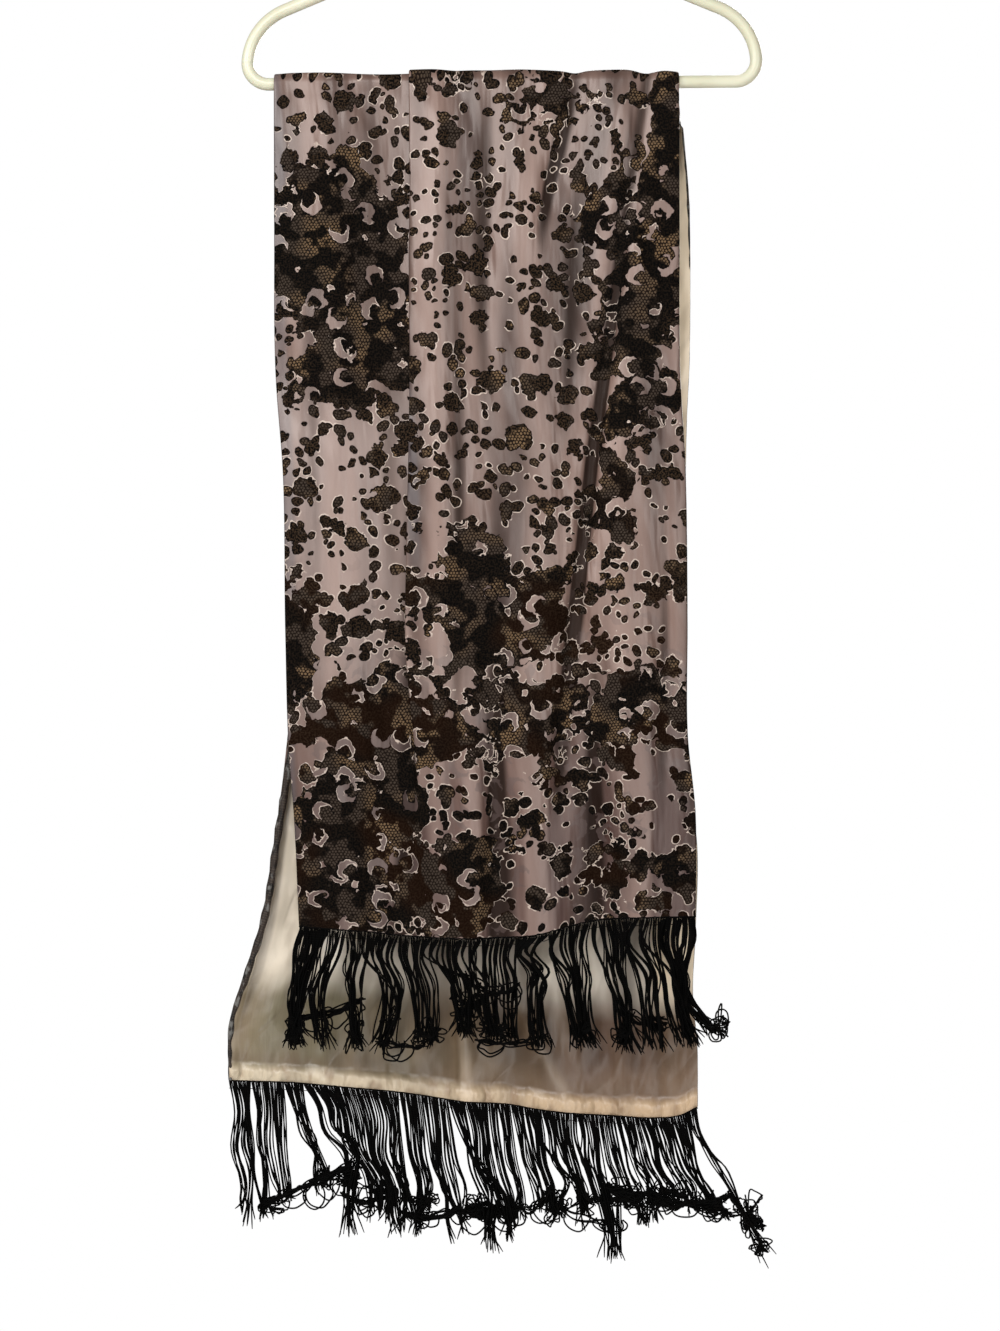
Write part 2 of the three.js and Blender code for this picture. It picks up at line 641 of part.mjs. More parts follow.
function hookGeometry() {
  const centreZ = HOOK_TUBE_RADIUS - HOOK_BEND;
  const onBend = (degrees) => {
    const angle = THREE.MathUtils.degToRad(degrees);
    return new THREE.Vector3(HOOK_BEND * Math.cos(angle), 0, centreZ + HOOK_BEND * Math.sin(angle));
  };
  const seat = new THREE.Vector3(0, 0, NECK_TOP_Z + SEAM_GAP);
  const foot = seat.clone().add(new THREE.Vector3(0, 0, HOOK_TUBE_RADIUS));
  const start = onBend(-40);
  const rise = start.z - foot.z;
  const stem = new THREE.CubicBezierCurve3(
    foot,
    foot.clone().add(new THREE.Vector3(0, 0, rise * 0.6)),
    start.clone().sub(new THREE.Vector3(Math.sin(0.7), 0, Math.cos(0.7)).multiplyScalar(rise * 0.35)),
    start,
  );
  const path = [seat, ...stem.getPoints(6)];
  for (let degrees = -20; degrees <= 204; degrees += 20) path.push(onBend(degrees));
  return tubeGeometry(path, HOOK_TUBE_RADIUS, false);
}

// ---------------------------------------------------------------- materials and assembly
const finish = (color, roughness) => new THREE.MeshStandardMaterial({ color, roughness, metalness: 0 });
const scarf = new THREE.Group();

function place(name, geometry, material) {
  const mesh = new THREE.Mesh(geometry, material);
  mesh.name = name;
  scarf.add(mesh);
}

const meetGap = SEAM_GAP / 2;
const yarn = finish(0x0c0b0a, 0.8);
const lace = finish(0x6b5752, 0.5);
const satin = finish(0xb09a7c, 0.4);
const [frontHem, frontAbove] = FRONT.rows;
const [backHem, backAbove] = [...BACK.rows].reverse();
place('face_front', wallGeometry(FRONT, meetGap, meetGap + WALL), lace);
place('face_back', wallGeometry(BACK, meetGap, meetGap + WALL), lace);
place('lining_front', wallGeometry(FRONT, -meetGap - WALL, -meetGap), satin);
place('lining_back', wallGeometry(BACK, -meetGap - WALL, -meetGap), satin);
place('fringe_front', fringeGeometry(frontHem, frontAbove, -1, FRONT_LOCKS), yarn);
place('fringe_back', fringeGeometry(backHem, backAbove, 1, BACK_LOCKS), yarn);
const plastic = finish(0xe7e4c9, 0.35);
place('hanger_frame', frameGeometry(), plastic);
place('hanger_hook', hookGeometry(), plastic);

export default scarf;
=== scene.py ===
"""Looks of a lined lace scarf with a fringe at both ends, folded over the bar of a tubular hanger."""

import math
from types import SimpleNamespace

import bpy
import numpy as np
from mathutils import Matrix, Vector


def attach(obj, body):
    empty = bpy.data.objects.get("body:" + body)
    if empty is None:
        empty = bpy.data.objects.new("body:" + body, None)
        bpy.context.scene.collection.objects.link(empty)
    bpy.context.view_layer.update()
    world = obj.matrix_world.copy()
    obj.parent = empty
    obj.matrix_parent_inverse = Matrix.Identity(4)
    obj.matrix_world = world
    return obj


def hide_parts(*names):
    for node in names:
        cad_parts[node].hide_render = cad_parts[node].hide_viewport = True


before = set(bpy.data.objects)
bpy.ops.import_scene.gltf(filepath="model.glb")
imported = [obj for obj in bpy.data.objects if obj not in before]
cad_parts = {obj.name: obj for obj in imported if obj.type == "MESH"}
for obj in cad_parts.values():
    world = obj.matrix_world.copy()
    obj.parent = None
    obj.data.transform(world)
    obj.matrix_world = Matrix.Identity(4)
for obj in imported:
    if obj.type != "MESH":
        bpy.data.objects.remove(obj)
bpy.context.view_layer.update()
chance = np.random.default_rng(7)

# ---- driving dimensions, in millimetres
MM = 0.001
CUT_WIDTH = 386
FACE_THICK = 0.5
LINING_THICK = 0.4
LAYER_GAP = 0.15           # between the face and the lining
FOLD_RADIUS = 0.8          # of a flat fold, where face and lining meet
PLEAT_DEPTH = 7
TRACE_STEP = 0.4           # step along the cloth when a section is laid out
STEEPEST = 0.85            # sine of the steepest slope of a soft fold
MOST_GATHER = 0.8          # sine of the steepest slope that the soft waves may take
FILLER_WAVES = 4           # soft waves that take up the spare width of a section
FILLER_REACH = 40          # over which they grow from the panel's long edges
HOLLOW_REACH = 17          # how far to each side the cloth round a point is looked at

# Columns of the cloth's mesh: in each margin, left of the pleat, in its middle layer, right of it, and
# in a flat fold as shares of its arc. Rows: spacing by the hems and between them, and over the bar.
MARGIN_COLUMNS = 6
LEFT_COLUMNS = 42
PLEAT_COLUMNS = 2
RIGHT_COLUMNS = 88
FOLD_COLUMNS = np.array([-0.5, -0.25, 0, 0.25, 0.5])
HEM_SPACING = 2.6
ROW_SPACING = 6.1
FRONT_FINE_FROM = 640
BACK_FINE_FROM = 770
BEND_ROWS = 9

BAR_RADIUS = 5
BAR_GAP = 0.15             # between the bar and the lining
BAR_Z = -210
BAR_HALF = 205.2
HANGER_LEAN = 0.006
SHOULDER_X = 203.6
SHOULDER_Z = 47.5
ARM_SLOPE = math.radians(22.5)
CORNER_RADII = {"lower": 17, "shoulder": 48, "neck": 30}
NECK_TOP_Z = -64.3
NECK_RADIUS = 6.5
HOOK_TUBE_RADIUS = 4.5
HOOK_BEND = 24             # radius of its open bend
HOOK_LEAN = 0.7            # of the stem where it meets the bend, in radians
HOOK_TURN = (-40, 205, 6)  # of the bend: from, to and step, in degrees
SEAM_GAP = 0.3             # between the hook and the neck
TUBE_SIDES = 28            # of the hanger's tubes

ROLL_SIDES = 12            # of the tube at a long edge, where the face is rolled

YARN_RADIUS = 0.62
YARN_SIDES = 4
HEM_CORD_RADIUS = 0.75
STITCH_RADIUS = 0.3
HEADER_HEIGHT = 6.5        # from the hem to the fringe's stitched line
HEADER_STEPS = 700
FRONT_STRANDS = 450
BACK_STRANDS = 390
STRAND_STEPS = 28
STRAY_CHANCE = 0.04        # that a wisp joins a neighbouring lock
LOOSE_CONTROLS = 7         # of a strand in a skein, a loop or a tangle
LOOSE_STEPS = 30

MEET_RADIUS = BAR_RADIUS + BAR_GAP + LINING_THICK + LAYER_GAP / 2
FOLD_ARC = math.pi * FOLD_RADIUS
FRONT_DROP = 686
BACK_DROP = 830
LENGTH = FRONT_DROP + math.pi * MEET_RADIUS + BACK_DROP


# ---- tables
def table(columns, rows):
    """Rows of numbers as named columns."""
    return {name: np.array([row[i] for row in rows], float) for i, name in enumerate(columns.split())}


# Sections of the hanging panels. drop: below the bar. left, right: the outline. margin: the width
# turned under at each edge. turn_left, turn_right: how far it is turned, 180 lies flat and 0 is open.
# pleat: how far the knife pleat is folded. pleat_x: its visible edge. stand: off the middle plane.
SECTION = "drop left right margin turn_left turn_right pleat pleat_x stand"
FRONT_SECTIONS = table(SECTION, [
    (0, -182.6, 141.6, 19, 180, 180, 180, -72.4, 0),
    (40, -182.2, 141.6, 16, 180, 180, 180, -72.2, 1),
    (120, -181.8, 141.6, 14, 180, 180, 180, -72, 2),
    (230, -181, 142, 14, 180, 180, 180, -73, 3),
    (320, -174.5, 146.5, 14, 180, 180, 175, -75, 3),
    (440, -173, 148, 15, 180, 180, 150, -78, 3),
    (530, -170.6, 148, 19, 180, 180, 70, -80, 3),
    (600, -165.7, 154.5, 22, 180, 180, 15, -82, 2),
    (686, -162, 154.5, 24, 180, 180, 0, -84, 1),
])
BACK_SECTIONS = table(SECTION, [
    (0, -182.6, 141.6, 19.5, 180, 180, 180, -72.4, 0),
    (50, -181, 147, 17, 180, 60, 180, -72, 1),
    (105, -179, 151.5, 16, 180, 16, 170, -72, 2),
    (215, -176.5, 152, 16, 180, 8, 120, -74, 3),
    (280, -174.5, 149.5, 15, 180, 8, 60, -76, 3),
    (385, -172, 148.5, 14, 180, 12, 20, -78, 3),
    (500, -171.5, 148.5, 12, 145, 30, 0, -80, 3),
    (555, -176, 151, 11, 115, 30, 0, -82, 3),
    (620, -184, 158, 10, 105, 30, 0, -84, 3),
    (690, -193, 156.5, 9, 90, 25, 0, -86, 4),
    (735, -207, 154.5, 8, 60, 20, 0, -88, 5),
    (780, -220, 158, 8, 30, 12, 0, -90, 7),
    (830, -221, 158.5, 8, 10, 8, 0, -92, 8),
])

# Creases of a panel, from its top end to its low one. A depth below zero makes it a ridge.
CREASE = "x_top x_mid x_low drop_top drop_low depth_top depth_mid depth_low half"
FRONT_CREASES = table(CREASE, [
    (-182, -176, -163, 10, 690, 1, 3.6, 2.6, 9),
    (141, 146, 154, 10, 690, 1, 2.6, 2.2, 7),
    (115, 69, 38, 0, 620, 3, 9.5, 2, 9.5),
    (-39, -37, -40, 30, 650, 1.5, 5.4, 4, 11),
    (58, 38, 22, 0, 170, 2, 3.6, 0, 8),
    (-2, -5, -8, 50, 300, -1.2, -2.4, -0.8, 9),
    (48, 41, 33, 90, 300, -1, -2, -0.8, 8),
    (16, 12, 8, 380, 580, -1, -2.6, -1, 14),
    (93, 98, 101, 380, 580, -1.2, -2.8, -1, 15),
    (-107, -108, -106, 220, 400, -1, -2.4, -1, 11),
    (-146, -150, -143, 90, 460, 0.8, 2.2, 0.9, 9),
    (-122, -126, -131, 400, 680, 0.8, 2.6, 1.4, 10),
    (128, 131, 124, 250, 660, 0.7, 2, 1.1, 7),
    (70, 73, 79, 430, 680, 0.8, 2.4, 1.2, 9),
    (-14, -6, -10, 480, 690, 0.6, 2, 1.4, 10),
    (-95, -90, -97, 520, 690, 0.5, -1.8, -1.2, 9),
])
BACK_CREASES = table(CREASE, [
    (104, 84, 60, 0, 430, 4, 4.5, 0.8, 12),
    (-120, -112, -128, 30, 520, 0.6, 2.6, 1, 15),
    (-35, -22, -30, 60, 470, 1, 3, 1.2, 14),
    (30, 36, 24, 180, 640, 0.6, 2.2, 1.2, 13),
    (-150, -152, -160, 470, 800, 0.6, 2.6, 1.4, 16),
    (-38, -31, -29, 640, 830, 1, 3.2, 2.6, 6),
    (110, 104, 98, 560, 790, 0.7, 2.4, 1, 14),
    (-8, 20, 60, 690, 822, 0.5, 3, 1, 8),
    (-92, -88, -96, 590, 800, 0.5, -2.2, -1, 12),
    (66, 60, 66, 610, 740, 0.4, -1.8, -0.8, 10),
    (134, 132, 136, 640, 820, 0.6, -2.4, -1.6, 8),
])

HEM = "x drop"
FRONT_HEM = table(HEM, [
    (-162, 676), (-110, 680), (-82, 684), (-42, 686), (0, 686),
    (25, 684), (55, 677), (81, 672), (109, 670), (155, 670),
])
BACK_HEM = table(HEM, [
    (-221, 803), (-162, 806), (-102, 811), (-41, 820), (4, 824),
    (29, 828), (90, 834), (120, 836), (143, 834), (158, 827),
])

# The locks that the fringe has gathered into. until: where a lock's last strand leaves the hem.
# waist: where it is drawn together. end: its tip. lump: how far it is felted into a knot.
LOCK = "until waist_x waist_drop end_x end_drop lump"
FRONT_LOCKS = table(LOCK, [
    (-144, -165, 738, -166, 778, 1),
    (-125, -148, 738, -142, 778, 0.2),
    (-104, -117, 730, -117, 779, 0.9),
    (-81, -88, 738, -96, 781, 0.6),
    (-53, -60, 736, -60, 778, 0.3),
    (-27, -32, 738, -28, 770, 0.8),
    (-2, -12, 738, -6, 773, 0.6),
    (14, 6, 738, 8, 775, 0.3),
    (37, 26, 726, 30, 777, 0.7),
    (71, 60, 736, 68, 779, 0.9),
    (96, 95, 730, 100, 781, 0.6),
    (119, 117, 736, 124, 779, 0.5),
    (145, 139, 736, 150, 776, 0.3),
    (170, 152, 730, 178, 768, 0.1),
])
BACK_LOCKS = table(LOCK, [
    (-210, -207, 878, -208, 926, 0.6),
    (-196, -195, 878, -193, 930, 0.5),
    (-179, -179, 882, -177, 913, 0.2),
    (-163, -150, 867, -149, 901, 0.1),
    (-140, -125, 861, -124, 933, 1),
    (-113, -100, 889, -99, 923, 0.2),
    (-89, -85, 893, -82, 937, 0.5),
    (-66, -66, 889, -66, 938, 0.5),
    (-43, -42, 893, -34, 938, 0.2),
    (-18, -12, 897, -11, 946, 1),
    (8, 10.5, 897, 10.5, 939, 0.7),
    (37, 37, 889, 38, 918, 0.2),
    (64, 68, 893, 72, 929, 0.3),
    (87, 88, 889, 94, 954, 0.6),
    (113, 119, 889, 121, 927, 0.3),
    (134, 146, 893, 153, 923, 0.2),
    (151, 169, 895, 182, 921, 0.2),
    (175, 191, 889, 218, 958, 0.6),
])

# Skeins: strands that run from one lock to another. Tangles: knotted nests of loops.
SKEIN = "x_from drop_from x_to drop_to sag strands"
FRONT_SKEINS = table(SKEIN, [
    (-112, 735, -166, 750, 5, 12), (-30, 716, 12, 724, 10, 7), (-20, 768, 34, 766, 5, 6),
    (-100, 768, -62, 772, 4, 5), (96, 742, 130, 750, 8, 4),
])
BACK_SKEINS = table(SKEIN, [
    (-193, 904, -152, 886, 5, 10), (-152, 886, -124, 874, 2, 14), (-80, 912, -36, 910, 6, 14),
    (-36, 910, 14, 908, 6, 18), (14, 908, 40, 890, 10, 7), (84, 890, 120, 896, 8, 18),
    (118, 894, 150, 904, 8, 16), (150, 904, 184, 898, 6, 16), (-130, 896, -104, 902, 9, 6),
    (40, 902, 92, 918, 10, 4), (184, 898, 212, 924, 3, 10),
])
TANGLE = "x drop width height loops"
FRONT_TANGLES = table(TANGLE, [
    (-24, 742, 30, 34, 30), (-4, 760, 22, 20, 18), (-58, 762, 22, 18, 14), (-88, 752, 12, 20, 8),
    (62, 762, 16, 14, 8), (126, 756, 24, 16, 10), (-166, 764, 9, 24, 16), (-117, 756, 9, 30, 14),
    (174, 758, 18, 22, 12), (96, 764, 12, 18, 8),
])
BACK_TANGLES = table(TANGLE, [
    (-190, 908, 26, 12, 10), (-142, 884, 26, 14, 14), (-124, 884, 18, 34, 26), (-98, 898, 34, 26, 18),
    (-64, 904, 30, 16, 14), (-20, 908, 30, 18, 28), (4, 910, 24, 14, 18), (44, 906, 26, 26, 22),
    (66, 902, 16, 22, 10), (96, 900, 40, 22, 24), (134, 898, 36, 18, 22), (166, 908, 34, 22, 22),
    (200, 916, 22, 30, 22), (209, 938, 14, 22, 8),
])

# Patches of the face where the lace is dense: along is measured on the cloth from the bar, and is
# above zero on the front. strength 1 is solid lace.
PATCH = "across along half_width half_length strength"
LACE_PATCHES = table(PATCH, [
    (60, 130, 70, 90, 1.25), (90, 218, 68, 58, 1.1), (40, 330, 40, 44, 0.4), (150, 330, 22, 60, 0.62),
    (110, 420, 40, 50, 0.55), (205, 420, 80, 60, 1.2), (110, 520, 80, 64, 1.15), (230, 520, 80, 56, 0.8),
    (70, 620, 66, 70, 1.5), (150, 650, 66, 50, 1.25), (362, 100, 34, 130, 1.3), (334, 200, 40, 100, 1.2),
    (318, 140, 22, 90, 1.25), (310, 330, 30, 70, 0.9), (330, 510, 56, 46, 1.1), (300, 640, 66, 56, 0.62),
    (212, 600, 34, 80, 0.5), (22, 450, 26, 90, 0.9), (270, 20, 60, 30, 0.75),
    (190, -90, 90, 80, 1.1), (70, -210, 70, 90, 1.15), (300, -260, 70, 90, 1.05),
    (150, -420, 90, 80, 1.15), (330, -480, 50, 90, 1), (60, -560, 60, 80, 1), (230, -650, 90, 70, 1.15),
    (90, -760, 80, 60, 1), (340, -760, 60, 70, 1.1),
])

# How the strands of a fringe hang. sizes: strands in a wisp. root_share, closeness: how far the
# strands of a wisp keep their own places at the hem and below it. wave, sweep: sideways sway and
# pull. upper_share, lower_share: how far a wisp has come towards its lock by then. waist_share: a
# lock's width at its waist, loose and felted. lean, short, loose: spread of the wisps' waists, of
# the tips' heights and of single strands. root_taper: a strand's thickness at the hem, as a share.
WAVY = SimpleNamespace(
    sizes=(2, 7), root_share=0.9, closeness=(0.4, 0.8), wave=3.2, sweep=-2.4, upper_share=0.15,
    lower_share=0.72, waist_share=(0.9, 0.55), lean=0.9, short=4, loose=1.3, root_taper=0.36,
)
STRAIGHT = SimpleNamespace(
    sizes=(1, 10), root_share=0.95, closeness=(0.55, 1.1), wave=1.1, sweep=0, upper_share=0.2,
    lower_share=0.5, waist_share=(1, 0.85), lean=2.2, short=12, loose=1.1, root_taper=0.8,
)


# ---- small helpers
def smooth_through(keys, values, at):
    """Smooth values at some keys, through a table's rows. A row's value may be a point."""
    last = len(keys) - 1
    i = np.clip(np.searchsorted(keys, at) - 1, 0, last - 1)
    before, after = np.maximum(i - 1, 0), np.minimum(i + 2, last)
    span = keys[i + 1] - keys[i]
    shape = np.shape(at) + (1,) * (values.ndim - 1)
    t = np.reshape(np.clip((at - keys[i]) / span, 0, 1), shape)
    share_before = np.reshape(span / (keys[i + 1] - keys[before]), shape)
    share_after = np.reshape(span / (keys[after] - keys[i]), shape)
    slope_from = (values[i + 1] - values[before]) * share_before
    slope_to = (values[after] - values[i]) * share_after
    from_part = (2 * t**3 - 3 * t**2 + 1) * values[i] + (t**3 - 2 * t**2 + t) * slope_from
    return from_part + (3 * t**2 - 2 * t**3) * values[i + 1] + (t**3 - t**2) * slope_to


def lerp(a, b, t):
    return a + (b - a) * t


def smoothstep(low, high, value):
    t = np.clip((value - low) / (high - low), 0, 1)
    return t * t * (3 - 2 * t)


def unit(vectors):
    return vectors / np.maximum(np.linalg.norm(vectors, axis=-1, keepdims=True), 1e-12)


# ---- the cloth's section
# How far the cloth has turned along its width is a sum of flat folds and soft creases, so its cut
# width never changes. The soft shape is a function of a place on the flat panel, so the layers of
# a flat fold share it and stay parallel.
def ramp(s, centre):
    return np.clip((s - centre) / FOLD_ARC + 0.5, 0, 1)


def lay_out(sections, creases, drop):
    """Where the flat folds and the soft creases of one section lie."""
    p = SimpleNamespace()
    for name, values in sections.items():
        if name != "drop":
            setattr(p, name, float(smooth_through(sections["drop"], values, drop)))
    for name in ("turn_left", "turn_right", "pleat"):
        setattr(p, name, math.radians(min(max(getattr(p, name), 0), 180)))
    p.left_fold = p.margin + FOLD_ARC / 2
    p.right_fold = CUT_WIDTH - p.left_fold
    p.hidden = (PLEAT_DEPTH + FOLD_ARC) * (1 - math.cos(p.pleat))
    p.panel = p.right_fold - p.left_fold - p.hidden
    ease = p.panel / (p.right - p.left)
    p.pleat_under = p.left_fold + (p.pleat_x + PLEAT_DEPTH - p.left) * ease
    p.pleat_edge = p.pleat_under + PLEAT_DEPTH + FOLD_ARC
    along = (drop - creases["drop_top"]) / (creases["drop_low"] - creases["drop_top"])
    held = np.clip(along, 0, 1)
    fade = 1 - smoothstep(0, 0.16, np.abs(along - held))

    def on_three(name):
        top, mid, low = (creases[f"{name}_{end}"] for end in ("top", "mid", "low"))
        return np.where(held < 0.5, lerp(top, mid, held * 2), lerp(mid, low, held * 2 - 1))

    p.crease_at = (on_three("x") - p.left) * ease
    p.crease_depth = on_three("depth") * fade
    p.crease_half = creases["half"]
    return p


def place_on_panel(s, p):
    """The place on the flat panel, from its left fold, under which a place on the cloth lies."""
    folded = np.clip(s - p.pleat_under, 0, PLEAT_DEPTH + FOLD_ARC) / (PLEAT_DEPTH + FOLD_ARC)
    u = s - p.left_fold - folded * p.hidden
    u = np.where(s < p.left_fold, (p.left_fold - s) * p.turn_left / math.pi, u)
    return np.where(s > p.right_fold, p.panel - (s - p.right_fold) * p.turn_right / math.pi, u)


def trace_section(p, s, u, gather):
    """x to the right and h outwards, for each step of cloth."""
    q = (u[:, None] - p.crease_at) / p.crease_half
    slope = (2 * p.crease_depth * q / p.crease_half * np.exp(-q * q)).sum(axis=1)
    f = np.clip(u / p.panel, 0, 1)
    uneven = f + 0.035 * np.sin(3 * math.pi * f + 1) * np.sin(math.pi * f)
    grown = np.clip(np.minimum(u, p.panel - u) / FILLER_REACH, 0, 1)
    slope = slope + gather * np.sin(2 * math.pi * FILLER_WAVES * uneven) * grown
    angle = np.arcsin(np.clip(slope, -STEEPEST, STEEPEST))
    angle = angle + p.turn_left * (1 - ramp(s, p.left_fold)) - p.turn_right * ramp(s, p.right_fold)
    angle = angle + p.pleat * (ramp(s, p.pleat_under) - ramp(s, p.pleat_edge))
    x = np.concatenate([[0], np.cumsum(np.cos(angle))]) * TRACE_STEP
    h = np.concatenate([[0], np.cumsum(np.sin(angle))]) * TRACE_STEP
    return x, h


def place_section(p):
    """Fits a section to its outline by its soft waves, levels it and rests its lowest point at 0."""
    steps = round(CUT_WIDTH / TRACE_STEP)
    s = (np.arange(steps) + 0.5) * TRACE_STEP
    u = place_on_panel(s, p)
    low, high = 0.0, MOST_GATHER
    for _ in range(16):
        middle = (low + high) / 2
        x, h = trace_section(p, s, u, middle)
        if np.ptp(x) > p.right - p.left:
            low = middle
        else:
            high = middle
    x, h = trace_section(p, s, u, low)
    first, second = round(p.left_fold / TRACE_STEP), round(p.right_fold / TRACE_STEP)
    h = h - (x - x[first]) * (h[second] - h[first]) / (x[second] - x[first])
    return x + (p.left + p.right) / 2 - (x.min() + x.max()) / 2, h - h.min()


def columns_of(p):
    """Places across the cloth: close together in the flat folds, and even between them."""
    half = FOLD_ARC / 2
    fold = FOLD_COLUMNS * FOLD_ARC

    def even(a, b, count):
        return np.linspace(a, b, count + 2)[1:-1]

    return np.concatenate([
        [0], even(0, p.left_fold - half, MARGIN_COLUMNS), p.left_fold + fold,
        even(p.left_fold + half, p.pleat_under - half, LEFT_COLUMNS), p.pleat_under + fold,
        even(p.pleat_under + half, p.pleat_edge - half, PLEAT_COLUMNS), p.pleat_edge + fold,
        even(p.pleat_edge + half, p.right_fold - half, RIGHT_COLUMNS), p.right_fold + fold,
        even(p.right_fold + half, CUT_WIDTH, MARGIN_COLUMNS), [CUT_WIDTH],
    ])


# ---- the cloth's surface
def section_at(sections, creases, drop):
    """A panel's section at its columns: its layout, the places across, and their x and height."""
    p = lay_out(sections, creases, drop)
    traced_x, traced_h = place_section(p)
    s = columns_of(p)
    at = np.arange(len(traced_x)) * TRACE_STEP
    return p, s, np.interp(s, at, traced_x), np.interp(s, at, traced_h)


def panel_row(side, sections, creases, hem, drop):
    """One row of the surface where face and lining meet: its points and its places on the cut cloth."""
    p, s, x, h = section_at(sections, creases, drop)
    full = sections["drop"][-1]
    below = drop * lerp(1, smooth_through(hem["x"], hem["drop"], x) / full, (drop / full) ** 2)
    out = MEET_RADIUS + p.stand + h
    points = np.stack([x, side * out, BAR_Z + x * HANGER_LEAN - below], axis=1)
    return points, s


def bend_row(angle):
    """A row over the bar, where angle is 0 at its front and half a turn at its back."""
    _, s, x, h = section_at(FRONT_SECTIONS, FRONT_CREASES, 0)
    reach = MEET_RADIUS + h
    z = BAR_Z + x * HANGER_LEAN + math.sin(angle) * reach
    return np.stack([x, -math.cos(angle) * reach, z], axis=1), s


def cloth_grid():
    """The surface where face and lining meet: points, outward directions and places on the cut cloth."""
    front_drops = np.concatenate([
        np.arange(FRONT_DROP, FRONT_FINE_FROM, -HEM_SPACING),
        np.arange(FRONT_FINE_FROM, 1, -ROW_SPACING),
    ])
    back_drops = np.concatenate([
        np.arange(ROW_SPACING, BACK_FINE_FROM, ROW_SPACING),
        np.arange(BACK_FINE_FROM, BACK_DROP, HEM_SPACING),
        [BACK_DROP],
    ])
    rows, along = [], []
    for drop in front_drops:
        rows.append(panel_row(-1, FRONT_SECTIONS, FRONT_CREASES, FRONT_HEM, drop))
        along.append(drop)
    for angle in np.linspace(0, math.pi, BEND_ROWS):
        rows.append(bend_row(angle))
        along.append(-angle * MEET_RADIUS)
    for drop in back_drops:
        rows.append(panel_row(1, BACK_SECTIONS, BACK_CREASES, BACK_HEM, drop))
        along.append(-math.pi * MEET_RADIUS - drop)
    points = np.array([row[0] for row in rows])
    across = np.array([row[1] for row in rows])
    along = np.repeat(np.array(along)[:, None], points.shape[1], axis=1)
    up = np.gradient(points, axis=0)
    sideways = np.zeros_like(points)
    steps = unit(np.diff(points, axis=1))
    sideways[:, :-1] += steps
    sideways[:, 1:] += steps
    outward = unit(np.cross(sideways, up))
    return SimpleNamespace(points=points, outward=outward, across=across, along=along)


def add_layer(mesh, name, places):
    """A layer of flat places, one for each vertex, that the materials read."""
    layer = mesh.uv_layers.new(name=name)
    corner = np.empty(len(mesh.loops), int)
    mesh.loops.foreach_get("vertex_index", corner)
    layer.data.foreach_set("uv", np.asarray(places, np.float32)[corner].ravel())


def add_mesh(name, vertices, faces, uv, material, slot, sharp=50):
    """A piece from points in millimetres. uv holds one place for each vertex."""
    mesh = bpy.data.meshes.new(name)
    mesh.from_pydata((np.asarray(vertices) * MM).tolist(), [], np.asarray(faces).tolist())
    add_layer(mesh, "cut", uv)
    mesh.materials.append(material)
    mesh.shade_smooth()
    mesh.set_sharp_from_angle(angle=math.radians(sharp))
    made = bpy.data.objects.new(name, mesh)
    bpy.context.collection.objects.link(made)
    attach(made, "root")
    return made


def grid_faces(rows, columns, closed=False):
    """Quads between rows of points; closed joins each row's last point to its first."""
    i, j = np.meshgrid(np.arange(rows - 1), np.arange(columns if closed else columns - 1), indexing="ij")
    a, b = i * columns + j, i * columns + (j + 1) % columns
    return np.stack([a, b, b + columns, a + columns], axis=-1).reshape(-1, 4)


def add_shell(name, grid, inner, outer, material, slot):
    """A thin closed cloth between two offsets of the grid, which may vary over it."""
    rows, columns = grid.across.shape
    inner, outer = (np.broadcast_to(offset, grid.across.shape)[..., None] for offset in (inner, outer))
    layers = [grid.points + grid.outward * offset for offset in (outer, inner)]
    vertices = np.concatenate([layer.reshape(-1, 3) for layer in layers])
    outside = grid_faces(rows, columns)
    inside = outside[:, ::-1] + rows * columns
    index = np.arange(rows * columns).reshape(rows, columns)
    rim = np.concatenate([index[0, :-1], index[:-1, -1], index[-1, :0:-1], index[:0:-1, 0]])
    after = np.roll(rim, -1)
    edge = np.stack([rim, rim + rows * columns, after + rows * columns, after], axis=1)
    uv = np.stack([grid.across, grid.along], axis=-1).reshape(-1, 2) * MM
    faces = np.concatenate([outside, inside, edge])
    made = add_mesh(name, vertices, faces, np.concatenate([uv, uv]), material, slot)
    below = hollows(grid).reshape(-1, 1) * (1, 0)
    add_layer(made.data, "fold", np.concatenate([below, below]))
    return made


def hollows(grid):
    """How far each point lies under the cloth round it, in millimetres: below zero on a ridge."""
    below = np.empty(grid.across.shape)
    for row, s in enumerate(grid.across):
        height = grid.points[row] @ unit(grid.outward[row].mean(axis=0))
        area = np.concatenate([[0], np.cumsum((height[1:] + height[:-1]) / 2 * np.diff(s))])
        start, end = np.clip([s - HOLLOW_REACH, s + HOLLOW_REACH], s[0], s[-1])
        below[row] = (np.interp(end, s, area) - np.interp(start, s, area)) / (end - start) - height
    return below


def hem_puff(grid):
    """How far the lining stands up from the face in the band over each hem, with its small puckers."""
    to_front = FRONT_DROP - grid.along
    to_back = LENGTH - FRONT_DROP + grid.along
    from_hem = np.minimum(to_front, to_back)
    s = grid.across
    turned = smoothstep(26, 40, s) * smoothstep(26, 40, CUT_WIDTH - s)
    pucker = np.sin(s / 3.1 + 1.3 * np.sin(s / 11)) * np.sin(s / 8.3 + 2 * np.sin(s / 29)) ** 2
    height = 12 + 2 * np.sin(s / 17) + 1.5 * np.sin(s / 7.3 + 1)
    band = np.clip(from_hem / height, 0, 1)
    crown = np.sin(math.pi * band**0.8) ** 0.8
    return crown * (1.3 + 0.8 * pucker) * np.where(grid.along > 0, turned, 1)


